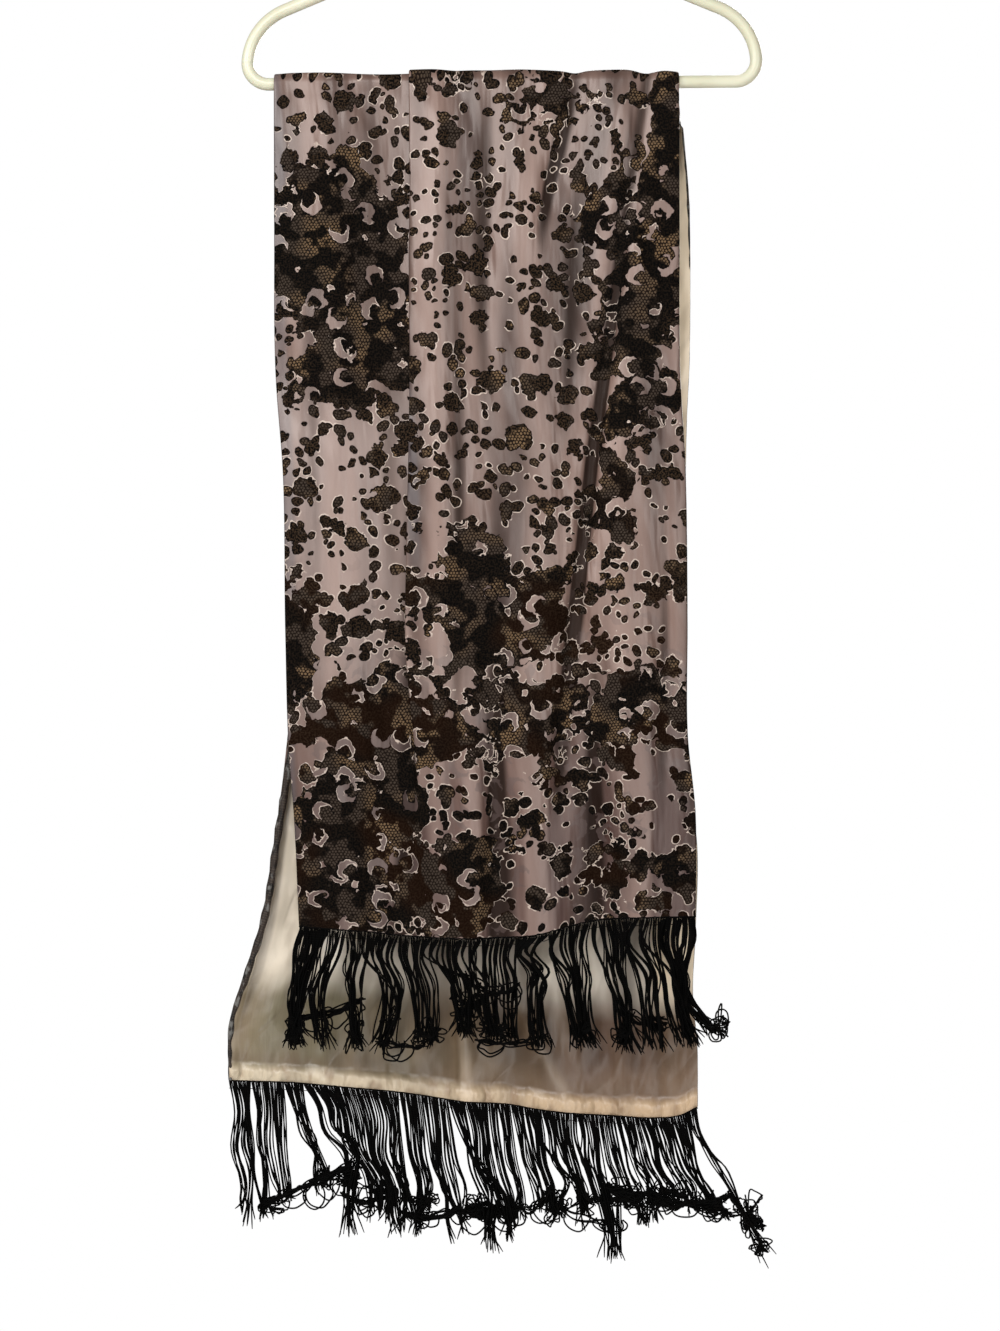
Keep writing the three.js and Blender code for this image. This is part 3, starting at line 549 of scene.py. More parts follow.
# ---- tubes: yarns, cords and rolled edges
def rings(path, side, front, sides):
    """Points round each point of a path, from two directions across it, as long as the radii there."""
    turn = np.arange(sides) / sides * 2 * math.pi
    ring = side[..., None, :] * np.cos(turn)[:, None] + front[..., None, :] * np.sin(turn)[:, None]
    return (path[..., None, :] + ring).reshape(-1, 3), turn


def tubes(paths, radius, sides):
    """One joined mesh of tubes along many paths of one length: vertices, faces and places on them."""
    paths = np.asarray(paths, float)
    count, steps, _ = paths.shape
    along = unit(np.gradient(paths, axis=1))
    reference = unit(np.array([0.3, 1, 0.17]))
    side = unit(np.cross(along, reference))
    front = np.cross(along, side)
    radius = np.broadcast_to(radius, (count, steps))[..., None]
    vertices, turn = rings(paths, side * radius, front * radius, sides)
    faces = grid_faces(steps, sides, closed=True)
    faces = (faces[None] + np.arange(count)[:, None, None] * steps * sides).reshape(-1, 4)
    length = np.cumsum(np.linalg.norm(np.diff(paths, axis=1, prepend=paths[:, :1]), axis=2), axis=1)
    u = np.broadcast_to(turn / (2 * math.pi), (count, steps, sides))
    v = np.broadcast_to(length[..., None], (count, steps, sides)) * MM
    return vertices, faces, np.stack([u, v], axis=-1).reshape(-1, 2)


def join_parts(parts):
    """One mesh of many: vertices, faces and places on them."""
    vertices, faces, uv, start = [], [], [], 0
    for v, f, t in parts:
        vertices.append(v)
        faces.append(f + start)
        uv.append(t)
        start += len(v)
    return np.concatenate(vertices), np.concatenate(faces), np.concatenate(uv)


def curve_through(controls, steps):
    """Smooth paths through control points: controls is paths x points x 3."""
    controls = np.asarray(controls, float)
    last = controls.shape[1] - 1
    keys = np.arange(last + 1, dtype=float)
    at = np.linspace(0, last, steps)
    return np.moveaxis(smooth_through(keys, np.moveaxis(controls, 1, 0), at), 0, 1)


# ---- the fringe
def lock_of(locks, x):
    """The row of the lock that takes a strand from x on the hem."""
    return int(min(np.searchsorted(locks["until"], x), len(locks["until"]) - 1))


def wisp_controls(roots, lock, place, width, sway, habit, down):
    """Control points of a few strands that hang together from the hem into their lock."""
    middle = roots.mean(axis=0)
    roots = lerp(middle, roots, habit.root_share)
    lump = lock["lump"]
    wave = sway + chance.normal(0, habit.wave * 0.5)
    waist_x = lock["waist_x"] + place * width * lerp(*habit.waist_share, lump)
    tail_x = lerp(lock["waist_x"], lock["end_x"], 0.5) + place * width * lerp(0.8, 0.42, lump)
    end_x = lock["end_x"] + place * width * lerp(0.85, 0.5, lump)
    waist_z = BAR_Z - lock["waist_drop"] + chance.normal(0, 5)
    end_z = min(BAR_Z - lock["end_drop"] + abs(chance.normal(0, habit.short)), waist_z - 8)
    depth = chance.normal(0, 1.2)
    waist_x += chance.normal(0, habit.lean)
    close = chance.uniform(*habit.closeness)
    thick = lerp(0.9, 2.2, lump)
    controls = []
    for root in roots:
        own = root[0] - middle[0]
        turn = chance.uniform(0, 2 * math.pi)
        aside, ahead = math.cos(turn) * thick * 0.5, math.sin(turn) * thick
        foot = root + down * 3
        hang_y = root[1] + depth + ahead
        upper = np.array([0.0, lerp(root[1], hang_y, 0.4), lerp(foot[2], waist_z, 0.3)])
        upper[0] = lerp(middle[0], waist_x, habit.upper_share) + own * close + wave
        upper[0] += habit.sweep + chance.normal(0, habit.loose * 0.35)
        lower = np.array([0.0, hang_y + chance.normal(0, 0.4), lerp(foot[2], waist_z, 0.68)])
        lower[0] = lerp(middle[0], waist_x, habit.lower_share) + own * close * 0.9 - wave * 0.8
        lower[0] += chance.normal(0, habit.loose * 0.8)
        waist = np.array([waist_x + own * close * 0.85 + aside * 0.5, hang_y, waist_z])
        waist[2] += chance.normal(0, 2)
        tail = np.array([tail_x + own * 0.4 + aside, hang_y, lerp(waist_z, end_z, 0.55)])
        tail[0] += chance.normal(0, habit.loose)
        end = np.array([end_x + own * 0.4 + aside * 1.5, hang_y, end_z + abs(chance.normal(0, 4))])
        end[:2] += chance.normal(0, (lerp(2.6, 4.6, lump), 1))
        controls.append([root, foot, upper, lower, waist, tail, end])
    return controls


def fringe_strands(hem, down, locks, count, habit):
    """Paths of the strands of one fringe, from the hem to their tips, in wisps that hang together."""
    reach = np.concatenate([[0], np.cumsum(np.linalg.norm(np.diff(hem, axis=0), axis=1))])
    s = (np.arange(count) + 0.5 + chance.uniform(-0.25, 0.25, count)) / count * reach[-1]
    roots = np.stack([np.interp(s, reach, hem[:, axis]) for axis in range(3)], axis=1)
    roots[:, 1] += chance.uniform(-0.5, 0.5, count)
    sway = chance.normal(0, habit.wave, len(locks["until"]))
    starts = np.concatenate([[hem[:, 0].min()], locks["until"][:-1]])
    controls = []
    first = 0
    while first < count:
        together = roots[first:first + int(chance.integers(*habit.sizes))]
        first += len(together)
        middle = together[:, 0].mean()
        home = lock_of(locks, middle)
        width = locks["until"][home] - starts[home]
        place = (middle - starts[home]) / width - 0.5
        if chance.random() < STRAY_CHANCE:
            home = int(np.clip(home + chance.choice([-1, 1]), 0, len(sway) - 1))
        lock = {name: values[home] for name, values in locks.items()}
        controls += wisp_controls(together, lock, place, width, sway[home], habit, down)
    return curve_through(controls, STRAND_STEPS)


def skein_strands(skeins, y):
    """Strands that run across from one lock to another, with some slack, and a few loops under them."""
    controls = []
    t = np.linspace(0, 1, LOOSE_CONTROLS)[:, None]
    for k in range(len(skeins["sag"])):
        a = np.array([skeins["x_from"][k], y, BAR_Z - skeins["drop_from"][k]])
        b = np.array([skeins["x_to"][k], y, BAR_Z - skeins["drop_to"][k]])
        for _ in range(int(skeins["strands"][k])):
            sag = skeins["sag"][k] * chance.uniform(0.35, 1.2)
            wander = chance.normal(0, [1.2, 1.2, 1.6], (LOOSE_CONTROLS, 3))
            hang = np.array([0, 0, 1]) * (sag * 4 * t * (1 - t))
            controls.append(lerp(a, b, t) - hang + wander)
        for _ in range(int(np.ceil(abs(b[0] - a[0]) / 15))):
            controls.append(hanging_loop(lerp(a, b, chance.uniform(0, 0.9)), skeins["sag"][k]))
    return curve_through(controls, LOOSE_STEPS)


def hanging_loop(start, sag):
    """A loose loop that drops below its skein and comes back to it."""
    width, fall = chance.uniform(8, 20), chance.uniform(7, 18)
    across = np.array([0.05, -0.1, 0.12, 0.5, 0.88, 1.05, 0.9]) * width
    drop = np.array([-2, 0.35 * fall, 0.8 * fall, fall, 0.75 * fall, 0.3 * fall, -2]) + sag * 0.5
    loop = start + np.stack([across, np.zeros(LOOSE_CONTROLS), -drop], axis=1)
    return loop + chance.normal(0, 0.7, (LOOSE_CONTROLS, 3))


def tangle_strands(tangles, y):
    """Nests of strands that wander to and fro, most of them in the fringe's own plane."""
    controls = []
    for k in range(len(tangles["x"])):
        half = np.array([tangles["width"][k], 3, tangles["height"][k]]) / 2
        middle = np.array([tangles["x"][k], y, BAR_Z - tangles["drop"][k]])
        for _ in range(int(tangles["loops"][k])):
            centre = middle + chance.normal(0, 0.42, 3) * half
            first_turn = chance.uniform(0, 2 * math.pi)
            turns = first_turn + np.linspace(0, chance.uniform(2.5, 8), LOOSE_CONTROLS)
            wide, high = 2 + 7 * chance.uniform(0, 1, 2) ** 2
            loop = np.stack([np.cos(turns) * wide, np.sin(turns * 0.7), np.sin(turns) * high], axis=1)
            strand = centre + loop + chance.normal(0, 0.7, (LOOSE_CONTROLS, 3))
            strand[[0, -1]] = lerp(strand[[0, -1]], middle, 0.75)
            controls.append(strand)
    return curve_through(controls, LOOSE_STEPS)


def header_cords(hem, down):
    """The cord that edges the hem, and the fine stitched line that holds the strands under it."""
    steps = np.linspace(0, len(hem) - 1, HEADER_STEPS)
    row = np.stack([np.interp(steps, np.arange(len(hem)), hem[:, axis]) for axis in range(3)], axis=1)
    at = np.arange(HEADER_STEPS)
    ripple = 0.3 * np.sin(at * 0.31 + 2 * np.sin(at * 0.043)) + 0.2 * np.sin(at * 0.93)
    return row + down * (0.5 + ripple)[:, None], row + down * (HEADER_HEIGHT + ripple * 0.5)[:, None]


def add_fringe(name, node, hem, above, locks, skeins, tangles, count, habit, material):
    """A fringe under the hem, a row of points; above is a row a little higher up the cloth."""
    down = np.array(hem[len(hem) // 2] - above[len(hem) // 2])
    down[0] = 0
    down = unit(down)
    strands = fringe_strands(hem, down, locks, count, habit)
    y = float(np.median(strands[:, -6, 1]))
    taper = lerp(habit.root_taper, 1, smoothstep(0, 9, np.arange(STRAND_STEPS)))
    taper[-3:] = (1, 0.9, 0.55)
    cord, stitches = header_cords(hem, down)
    parts = [
        tubes(strands, YARN_RADIUS * taper, YARN_SIDES),
        tubes(skein_strands(skeins, y), YARN_RADIUS * 1.15, YARN_SIDES),
        tubes(tangle_strands(tangles, y), YARN_RADIUS * 1.05, YARN_SIDES),
        tubes([cord], HEM_CORD_RADIUS, 6),
        tubes([stitches], STITCH_RADIUS, YARN_SIDES),
    ]
    made = add_mesh(name, *join_parts(parts), material, "fringe_yarn", sharp=120)
    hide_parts(node)
    return made


# ---- the rolled edge
def rolled_edge(grid, column):
    """The face turned round the cloth's long edge: a twisted roll, full where the edge is seen."""
    edge = grid.points[:, column]
    outward = grid.outward[:, column]
    drop = -math.pi * MEET_RADIUS - grid.along[:, 0]
    if column == 0:
        inward = unit(grid.points[:, 3] - edge)
        open_share = smoothstep(470, 560, drop)
        full = lerp(3.7, 1.8, smoothstep(690, 810, drop))
    else:
        inward = unit(grid.points[:, -4] - edge)
        open_share = smoothstep(40, 90, drop)
        full = lerp(1, 0.5, smoothstep(110, 160, drop))
    pucker = 1 + 0.2 * np.sin(drop / 3.1 + np.sin(drop / 13)) + 0.14 * np.sin(drop / 7.3 + 1)
    half_width = lerp(0.8, full, open_share) * pucker
    half_thick = lerp(0.62, full * 0.8, open_share) * (1 + 0.16 * np.sin(drop / 3.9 + 2))
    half_width, half_thick = half_width[:, None], half_thick[:, None]
    centre = edge + inward * half_width * 0.6
    vertices, turn = rings(centre, inward * half_width, outward * half_thick, ROLL_SIDES)
    across = grid.across[:, column][:, None] + np.cos(turn) * half_width * 1.4 + 30
    along = np.broadcast_to(grid.along[:, :1], across.shape)
    uv = np.stack([across, along], axis=-1).reshape(-1, 2) * MM
    return vertices, grid_faces(len(drop), ROLL_SIDES, closed=True), uv


# ---- the hanger
def rounded_path(corners, steps):
    """The rounded outline of a polygon in the hanger's plane. corners: (x, z, radius)."""
    path = []
    points = [np.array([x, 0, z], float) for x, z, _ in corners]
    for i, (_, _, radius) in enumerate(corners):
        here = points[i]
        to_before = unit(points[i - 1] - here)
        to_after = unit(points[(i + 1) % len(corners)] - here)
        half = math.acos(float(to_before @ to_after)) / 2
        centre = here + unit(to_before + to_after) * radius / math.sin(half)
        first = here + to_before * radius / math.tan(half) - centre
        second = here + to_after * radius / math.tan(half) - centre
        sweep = math.pi - 2 * half
        for t in np.linspace(0, 1, steps):
            arc = first * math.sin((1 - t) * sweep) + second * math.sin(t * sweep)
            path.append(arc / math.sin(sweep) + centre)
    return np.array(path)


def flat_tube(path, radius, closed):
    """A tube along a path in the hanger's plane."""
    before, after = np.roll(path, 1, axis=0), np.roll(path, -1, axis=0)
    if not closed:
        before[0], after[-1] = path[0], path[-1]
    along = unit(after - before)
    sideways = np.array([0.0, 1, 0])
    outward = unit(np.cross(along, sideways))
    radius = np.broadcast_to(radius, len(path))[:, None]
    vertices, turn = rings(path, outward * radius, sideways * radius, TUBE_SIDES)
    faces = grid_faces(len(path) + closed, TUBE_SIDES, closed=True) % len(vertices)
    length = np.cumsum(np.linalg.norm(path - before, axis=1))
    uv = np.stack(np.broadcast_arrays((turn / (2 * math.pi))[None], length[:, None] * MM), axis=-1)
    return vertices, faces, uv.reshape(-1, 2)


def add_frame_tube(material):
    """The hanger's triangle, with the collar on its neck that takes the hook."""
    neck_z = SHOULDER_Z + SHOULDER_X * math.tan(ARM_SLOPE)
    path = rounded_path([
        (-BAR_HALF, BAR_Z, CORNER_RADII["lower"]),
        (-SHOULDER_X, BAR_Z + SHOULDER_Z, CORNER_RADII["shoulder"]),
        (0, BAR_Z + neck_z, CORNER_RADII["neck"]),
        (SHOULDER_X, BAR_Z + SHOULDER_Z, CORNER_RADII["shoulder"]),
        (BAR_HALF, BAR_Z, CORNER_RADII["lower"]),
    ], 16)
    path[:, 2] += path[:, 0] * HANGER_LEAN
    neck_low = BAR_Z + neck_z - BAR_RADIUS
    heights = (neck_low, neck_low + 1, NECK_TOP_Z - 1, NECK_TOP_Z, NECK_TOP_Z)
    collar = np.array([(0, 0, z) for z in heights], float)
    collar_radius = np.array([NECK_RADIUS - 1, NECK_RADIUS, NECK_RADIUS, NECK_RADIUS - 0.8, 0.01])
    parts = [flat_tube(path, BAR_RADIUS, closed=True), flat_tube(collar, collar_radius, closed=False)]
    body = add_mesh("hanger_tube", *join_parts(parts), material, "hanger_plastic")
    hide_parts("hanger_frame")


def add_hook(material):
    """The hook: a stem that leans out into an open bend with a rounded end."""
    bend_z = HOOK_TUBE_RADIUS - HOOK_BEND
    angles = np.radians(np.arange(*HOOK_TURN))
    bend = np.stack([np.cos(angles), 0 * angles, np.sin(angles)], axis=1) * HOOK_BEND
    bend[:, 2] += bend_z
    seat = np.array([0, 0, NECK_TOP_Z + SEAM_GAP])
    foot = seat + np.array([0, 0, HOOK_TUBE_RADIUS])
    rise = bend[0, 2] - foot[2]
    lean = np.array([math.sin(HOOK_LEAN), 0, math.cos(HOOK_LEAN)])
    handles = [foot, foot + np.array([0, 0, rise * 0.6]), bend[0] - lean * rise * 0.35, bend[0]]
    t = np.linspace(0, 1, 14)[:-1, None]
    stem = sum(
        share * (1 - t) ** (3 - k) * t**k * handle
        for k, (share, handle) in enumerate(zip((1, 3, 3, 1), handles))
    )
    end = unit(bend[-1] - bend[-2])
    cap_turn = np.radians([25, 50, 72, 89])[:, None]
    cap = bend[-1] + end * np.sin(cap_turn) * HOOK_TUBE_RADIUS
    path = np.concatenate([[seat], [seat], stem, bend, cap])
    radius = np.full(len(path), float(HOOK_TUBE_RADIUS))
    radius[0] = 0.01
    radius[-4:] *= np.cos(cap_turn[:, 0])
    path[0, 2] += 0.01
    parts = flat_tube(path, radius, closed=False)
    hook = add_mesh("hanger_hook_tube", *parts, material, "hanger_plastic")
    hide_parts("hanger_hook")


# ---- materials
def linear(red, green, blue):
    """A colour from its screen values, 0 to 255."""
    values = [v / 255 for v in (red, green, blue)]
    return tuple(v / 12.92 if v <= 0.04045 else ((v + 0.055) / 1.055) ** 2.4 for v in values)


class Field:
    """A value that varies over a surface: an output of a material's nodes, with Python's arithmetic."""

    def __init__(self, nodes, socket):
        self.nodes = nodes
        self.socket = socket

    def math(self, operation, *others):
        node = self.nodes.new("ShaderNodeMath", operation=operation)
        return self.nodes.wire(node, (self, *others))

    def __add__(self, other):
        return self.math("ADD", other)

    def __sub__(self, other):
        return self.math("SUBTRACT", other)

    def __rsub__(self, other):
        return self.nodes.wire(self.nodes.new("ShaderNodeMath", operation="SUBTRACT"), (other, self))

    def __mul__(self, other):
        return self.math("MULTIPLY", other)

    def __neg__(self):
        return self.math("MULTIPLY", -1)

    __radd__ = __add__
    __rmul__ = __mul__

    def least(self, other):
        return self.math("MINIMUM", other)

    def most(self, other):
        return self.math("MAXIMUM", other)

    def rise(self, low, high):
        """0 below low and 1 above high, smoothly; the other way round where high is the smaller."""
        node = self.nodes.new("ShaderNodeMapRange", interpolation_type="SMOOTHSTEP")
        self.nodes.feed(node.inputs["Value"], self)
        node.inputs["From Min"].default_value = min(low, high)
        node.inputs["From Max"].default_value = max(low, high)
        node.inputs["To Min"].default_value = 0 if low < high else 1
        node.inputs["To Max"].default_value = 1 if low < high else 0
        return Field(self.nodes, node.outputs["Result"])


class Place(Field):
    """A place or a direction that varies over a surface."""

    def vector_math(self, operation, other):
        node = self.nodes.new("ShaderNodeVectorMath", operation=operation)
        self.nodes.feed(node.inputs[0], self)
        self.nodes.feed(node.inputs[1], other)
        return node

    def __add__(self, other):
        return Place(self.nodes, self.vector_math("ADD", other).outputs[0])

    def __sub__(self, other):
        return Place(self.nodes, self.vector_math("SUBTRACT", other).outputs[0])

    def __mul__(self, factors):
        return Place(self.nodes, self.vector_math("MULTIPLY", factors).outputs[0])

    def length(self):
        node = self.nodes.new("ShaderNodeVectorMath", operation="LENGTH")
        self.nodes.feed(node.inputs[0], self)
        return Field(self.nodes, node.outputs["Value"])

    def turned(self, angle):
        node = self.nodes.new("ShaderNodeVectorRotate", rotation_type="Z_AXIS")
        self.nodes.feed(node.inputs["Vector"], self)
        self.nodes.feed(node.inputs["Angle"], angle)
        return Place(self.nodes, node.outputs[0])

    def parts(self):
        node = self.nodes.new("ShaderNodeSeparateXYZ")
        self.nodes.feed(node.inputs[0], self)
        return [Field(self.nodes, socket) for socket in node.outputs]


class Material:
    """One material's nodes, round its Principled shader."""

    def __init__(self, name):
        self.made = bpy.data.materials.new(name)
        self.made.use_nodes = True
        self.tree = self.made.node_tree
        self.shader = self.tree.nodes["Principled BSDF"]

    def new(self, kind, **settings):
        node = self.tree.nodes.new(kind)
        for name, value in settings.items():
            setattr(node, name, value)
        return node

    def feed(self, socket, value):
        if isinstance(value, Field):
            self.tree.links.new(value.socket, socket)
        else:
            socket.default_value = value

    def wire(self, node, values):
        for socket, value in zip(node.inputs, values):
            self.feed(socket, value)
        return Field(self, node.outputs[0])

    def layer(self, name):
        """The flat places that add_layer gave the mesh."""
        node = self.new("ShaderNodeUVMap", uv_map=name)
        return Place(self, node.outputs["UV"])

    def place(self):
        """The place on the cut cloth, in millimetres."""
        return self.layer("cut") * (1 / MM, 1 / MM, 1 / MM)

    def place_in_space(self):
        """The place in the object's own space, in millimetres."""
        node = self.new("ShaderNodeTexCoord")
        return Place(self, node.outputs["Object"]) * (1 / MM, 1 / MM, 1 / MM)

    def hollow(self):
        """How far the cloth lies under the cloth round it, in millimetres."""
        return self.layer("fold").parts()[0]

    def noise_node(self, place, size, detail, roughness):
        node = self.new("ShaderNodeTexNoise", noise_dimensions="3D")
        self.feed(node.inputs["Vector"], place)
        node.inputs["Scale"].default_value = 1 / size
        node.inputs["Detail"].default_value = detail
        node.inputs["Roughness"].default_value = roughness
        return node

    def noise(self, place, size, detail=2, roughness=0.5):
        """Soft noise from 0 to 1, with features of about a size in millimetres."""
        return Field(self, self.noise_node(place, size, detail, roughness).outputs["Fac"])

    def drift(self, place, size, detail):
        """Soft noise from -0.5 to 0.5 in each direction, to bend a place by."""
        node = self.noise_node(place, size, detail, 0.5)
        return Place(self, node.outputs["Color"]) - (0.5, 0.5, 0.5)

    def cells(self, place, size, randomness=1.0, feature="F1"):
        """Scattered points a size apart: distance in millimetres, three chances each, and the point."""
        node = self.new("ShaderNodeTexVoronoi", voronoi_dimensions="2D", feature=feature)
        self.feed(node.inputs["Vector"], place)
        node.inputs["Scale"].default_value = 1 / size
        node.inputs["Randomness"].default_value = randomness
        distance = Field(self, node.outputs["Distance"]) * size
        if feature == "DISTANCE_TO_EDGE":
            return distance
        chances = Place(self, node.outputs["Color"]).parts()
        return distance, chances, Place(self, node.outputs["Position"])

    def blend(self, share, first, second):
        """A colour between two, each of which is screen values, 0 to 255, or another blend."""
        node = self.new("ShaderNodeMix", data_type="RGBA")
        self.feed(node.inputs[0], share)
        for socket, colour in ((node.inputs[6], first), (node.inputs[7], second)):
            self.feed(socket, colour if isinstance(colour, Field) else (*linear(*colour), 1))
        return Field(self, node.outputs[2])

    def painted(self, base, *coats):
        """A base colour under coats, each of which is its share and its colour."""
        for share, colour in coats:
            base = self.blend(share, base, colour)
        return base

    def relief(self, height):
        """Bump from a height in millimetres."""
        node = self.new("ShaderNodeBump")
        self.feed(node.inputs["Height"], height)
        node.inputs["Distance"].default_value = MM
        self.tree.links.new(node.outputs["Normal"], self.shader.inputs["Normal"])

    def set(self, **values):
        """Feeds the shader's own sockets, named with _ for each space."""
        for name, value in values.items():
            self.feed(self.shader.inputs[name.replace("_", " ")], value)


# In the materials, across and along are places on the cut cloth and from_hem is above its back hem,
# all in millimetres. The face's pattern is built from heights, above zero inside a shape. A fixed
# amount added to a place only gives the noise or the cells there a layout of their own.
def lace_patches(m, place):
    """How dense the lace is: the strongest of the patches, which drift out of their plain ovals."""
    place = place + m.drift(place, 44, 3) * (130, 130, 0)
    total = None
    for k in range(len(LACE_PATCHES["across"])):
        size = (1 / LACE_PATCHES["half_width"][k], 1 / LACE_PATCHES["half_length"][k], 0)
        centre = (LACE_PATCHES["across"][k], LACE_PATCHES["along"][k], 0)
        reach = ((place - centre) * size).length().rise(1.5, 0.2) * LACE_PATCHES["strength"][k]
        total = reach if total is None else total.most(reach)
    return total


def lace_dots(m, place, size, small_radius, large_radius, share):
    """Oval dots a size apart: whole ones only, and more of them along winding chains."""
    _, (keep, grow, turn), point = m.cells(place, size, 0.92)
    oval = (place - point).turned(turn * (2 * math.pi)) * (1, 0.74, 0)
    chain_noise = m.noise(point + (300, 40, 0), 36, 1)
    scatter = m.noise(point + (90, 700, 0), 55, 1)
    busy = (chain_noise - 0.5).math("ABSOLUTE").rise(0.06, 0.0) * 0.6 + scatter.rise(0.34, 0.66) * 0.5
    radius = grow * (large_radius - small_radius) + small_radius
    return radius - oval.length() - (keep - busy - share).rise(0.0, 0.01) * 20


def lace_crescents(m, place, size, radius, share):
    """Crescent openings in the dense lace, each turned its own way."""
    distance, (keep, turn, _), point = m.cells(place, size, 0.75)
    inner = (place - point).turned(turn * (2 * math.pi)) - (0.5 * radius, 0, 0)
    shape = (radius - distance).least(inner.length() - 0.7 * radius)
    return shape - keep.rise(share, share + 0.01) * 20


def net_holes(m, place, size):
    """The round holes of a net, in a honeycomb: 1 in a hole and 0 on its cords."""
    flat = place * (1, 1 / math.sqrt(3), 0)
    nearest = None
    for offset in ((0, 0, 0), (size / 2, size / 2, 0)):
        _, _, point = m.cells(flat + offset, size, 0.22)
        reach = ((flat + offset - point) * (1, math.sqrt(3), 0)).length()
        nearest = reach if nearest is None else nearest.least(reach)
    return nearest.rise(size * 0.42, size * 0.27)


def lace_face():
    """Satin with a burnt-out lace pattern: solid lobes, net, dots in chains and crescent openings."""
    m = Material("lace_face")
    place = m.place()
    across, along, _ = place.parts()
    patches = lace_patches(m, place)
    uneven = m.noise(place + (70, 20, 0), 15, 3)
    large = m.drift(place, 11, 2)
    small = m.drift(place, 3.5, 2)
    bent = place + large * (5, 5, 0) + small * (1.6, 1.6, 0)
    ragged = place + large * (14, 14, 0) + small * (4, 4, 0)

    solid = (patches + (uneven - 0.5) * 1.1 - 0.6) * 30
    crescents = lace_crescents(m, (bent + ragged) * (0.5, 0.5, 0.5) + (7, 3, 0), 24, 8.2, 0.46)
    crescents = crescents.most(lace_crescents(m, ragged + (60, 23, 0), 17, 5.4, 0.16))
    lobes_at, (lobe_keep, lobe_size, _), _ = m.cells(ragged + (11, 77, 0), 14)
    lobes = lobe_size * 4.5 - lobes_at - lobe_keep.rise(0.3, 0.31) * 20
    dense = solid.least(-crescents.most(lobes))
    dots = lace_dots(m, bent, 8.8, 1.6, 3.5, -0.03)
    dots = dots.most(lace_dots(m, bent + (51, 17, 0), 12.5, 3, 5, -0.02))
    dots = dots.most(lace_dots(m, ragged + (130, 60, 0), 22, 5, 10, -0.08))
    kept_clear = solid.rise(-1.0, 1.0) * crescents.rise(-0.5, 0.0) * 20
    dark = dense.most(dots - kept_clear)
    ink = dark.rise(-0.22, 0.22)

    net_noise = m.noise(place + (10, 500, 0), 20, 2)
    net_share = net_noise.rise(0.49, 0.55) * dark.rise(0.7, 1.1)
    hole = net_holes(m, place + large * (3, 3, 0), 2.6) * net_share
    glow_noise = m.noise(place + (5, 5, 0), 42, 1)
    lining_seen = m.blend(glow_noise.rise(0.45, 0.7), (72, 62, 54), (132, 106, 78))
    rust_noise = m.noise(place + (900, 5, 0), 70, 1)
    mottle = m.noise(place, 1.5, 1)
    # the share of lighter mottle: less of it in dense patches and towards the bottom of the front
    mottle_share = patches.rise(1.0, 0.4) * along.rise(640, 300) * 0.7 + 0.2
    lace = m.painted(
        (7, 7, 7),
        (rust_noise.rise(0.45, 0.6) * along.rise(260, 460), (22, 11, 6)),
        (mottle.rise(0.42, 0.62) * dark.rise(0.3, 0.9) * mottle_share, (58, 45, 34)),
        (net_share, (27, 21, 17)),
        (hole * 0.65, lining_seen),
    )

    tone = m.noise(place * (1, 0.12, 1), 30, 1)
    slub = m.noise(place * (1, 0.06, 1), 1.4, 2)
    # painted sheen: lighter satin left of the pleat, halfway down the front
    painted_sheen = across.rise(138, 128) * along.rise(230, 300) * along.rise(520, 430)
    hollow = m.hollow()
    # painted shade in the deepest creases: darker colour there, and less shine
    painted_crease_shade = hollow.rise(0.1, 1.9)
    # painted sheen: blue-grey strips on the rounded fold of the left edge and on the pleat's edge
    left_edge_sheen = across.rise(13, 16) * across.rise(28, 22)
    pleat_edge_sheen = across.rise(134, 137) * across.rise(148, 143) * along.rise(420, 330)
    opening = crescents.rise(-0.5, 0.5) * along.rise(300, 560)
    outline_noise = m.noise(place + (400, 0, 0), 22, 2)
    outlined = (outline_noise + along.rise(260, 440) * 0.08).rise(0.5, 0.6)
    line = (dark + 0.42).math("ABSOLUTE").rise(0.5, 0.15) * outlined
    colour = m.painted(
        (70, 50, 43),
        (tone.rise(0.3, 0.7), (126, 101, 91)),
        (slub.rise(0.35, 0.75) * 0.12, (92, 70, 63)),
        (painted_sheen * 0.4, (176, 156, 148)),
        # painted shade: the low part of the front darker
        (along.rise(480, 600) * 0.6, (70, 46, 42)),
        # painted highlight on the ridges
        (hollow.rise(-0.2, -1.6) * 0.5, (152, 128, 118)),
        (painted_crease_shade * 0.9, (24, 16, 12)),
        ((left_edge_sheen + pleat_edge_sheen) * 0.4, (84, 84, 90)),
        (opening * 0.5, (84, 70, 67)),
        (ink, lace),
        (line * 0.8, (198, 180, 166)),
    )
    weave = m.noise(place * (1, 0.3, 1), 0.5, 1)
    wrinkles = m.noise(place * (1, 0.16, 1) + (0, 40, 0), 13, 2)
    drawn = m.noise((place + (0, 900, 0)).turned(0.3) * (1, 0.22, 1), 30, 1)
    shine = (1 - ink) * (1 - painted_crease_shade * 0.9) * 0.75 + 0.01
    m.relief((1 - ink) * 0.25 + weave * 0.05 + line * 0.12 - hole * 0.1 + wrinkles * 3 + drawn * 8)
    m.set(Base_Color=colour, Roughness=ink * 0.25 + 0.42)
    m.set(Specular_IOR_Level=shine, Specular_Tint=(1, 0.94, 0.9, 1))
    return m.made


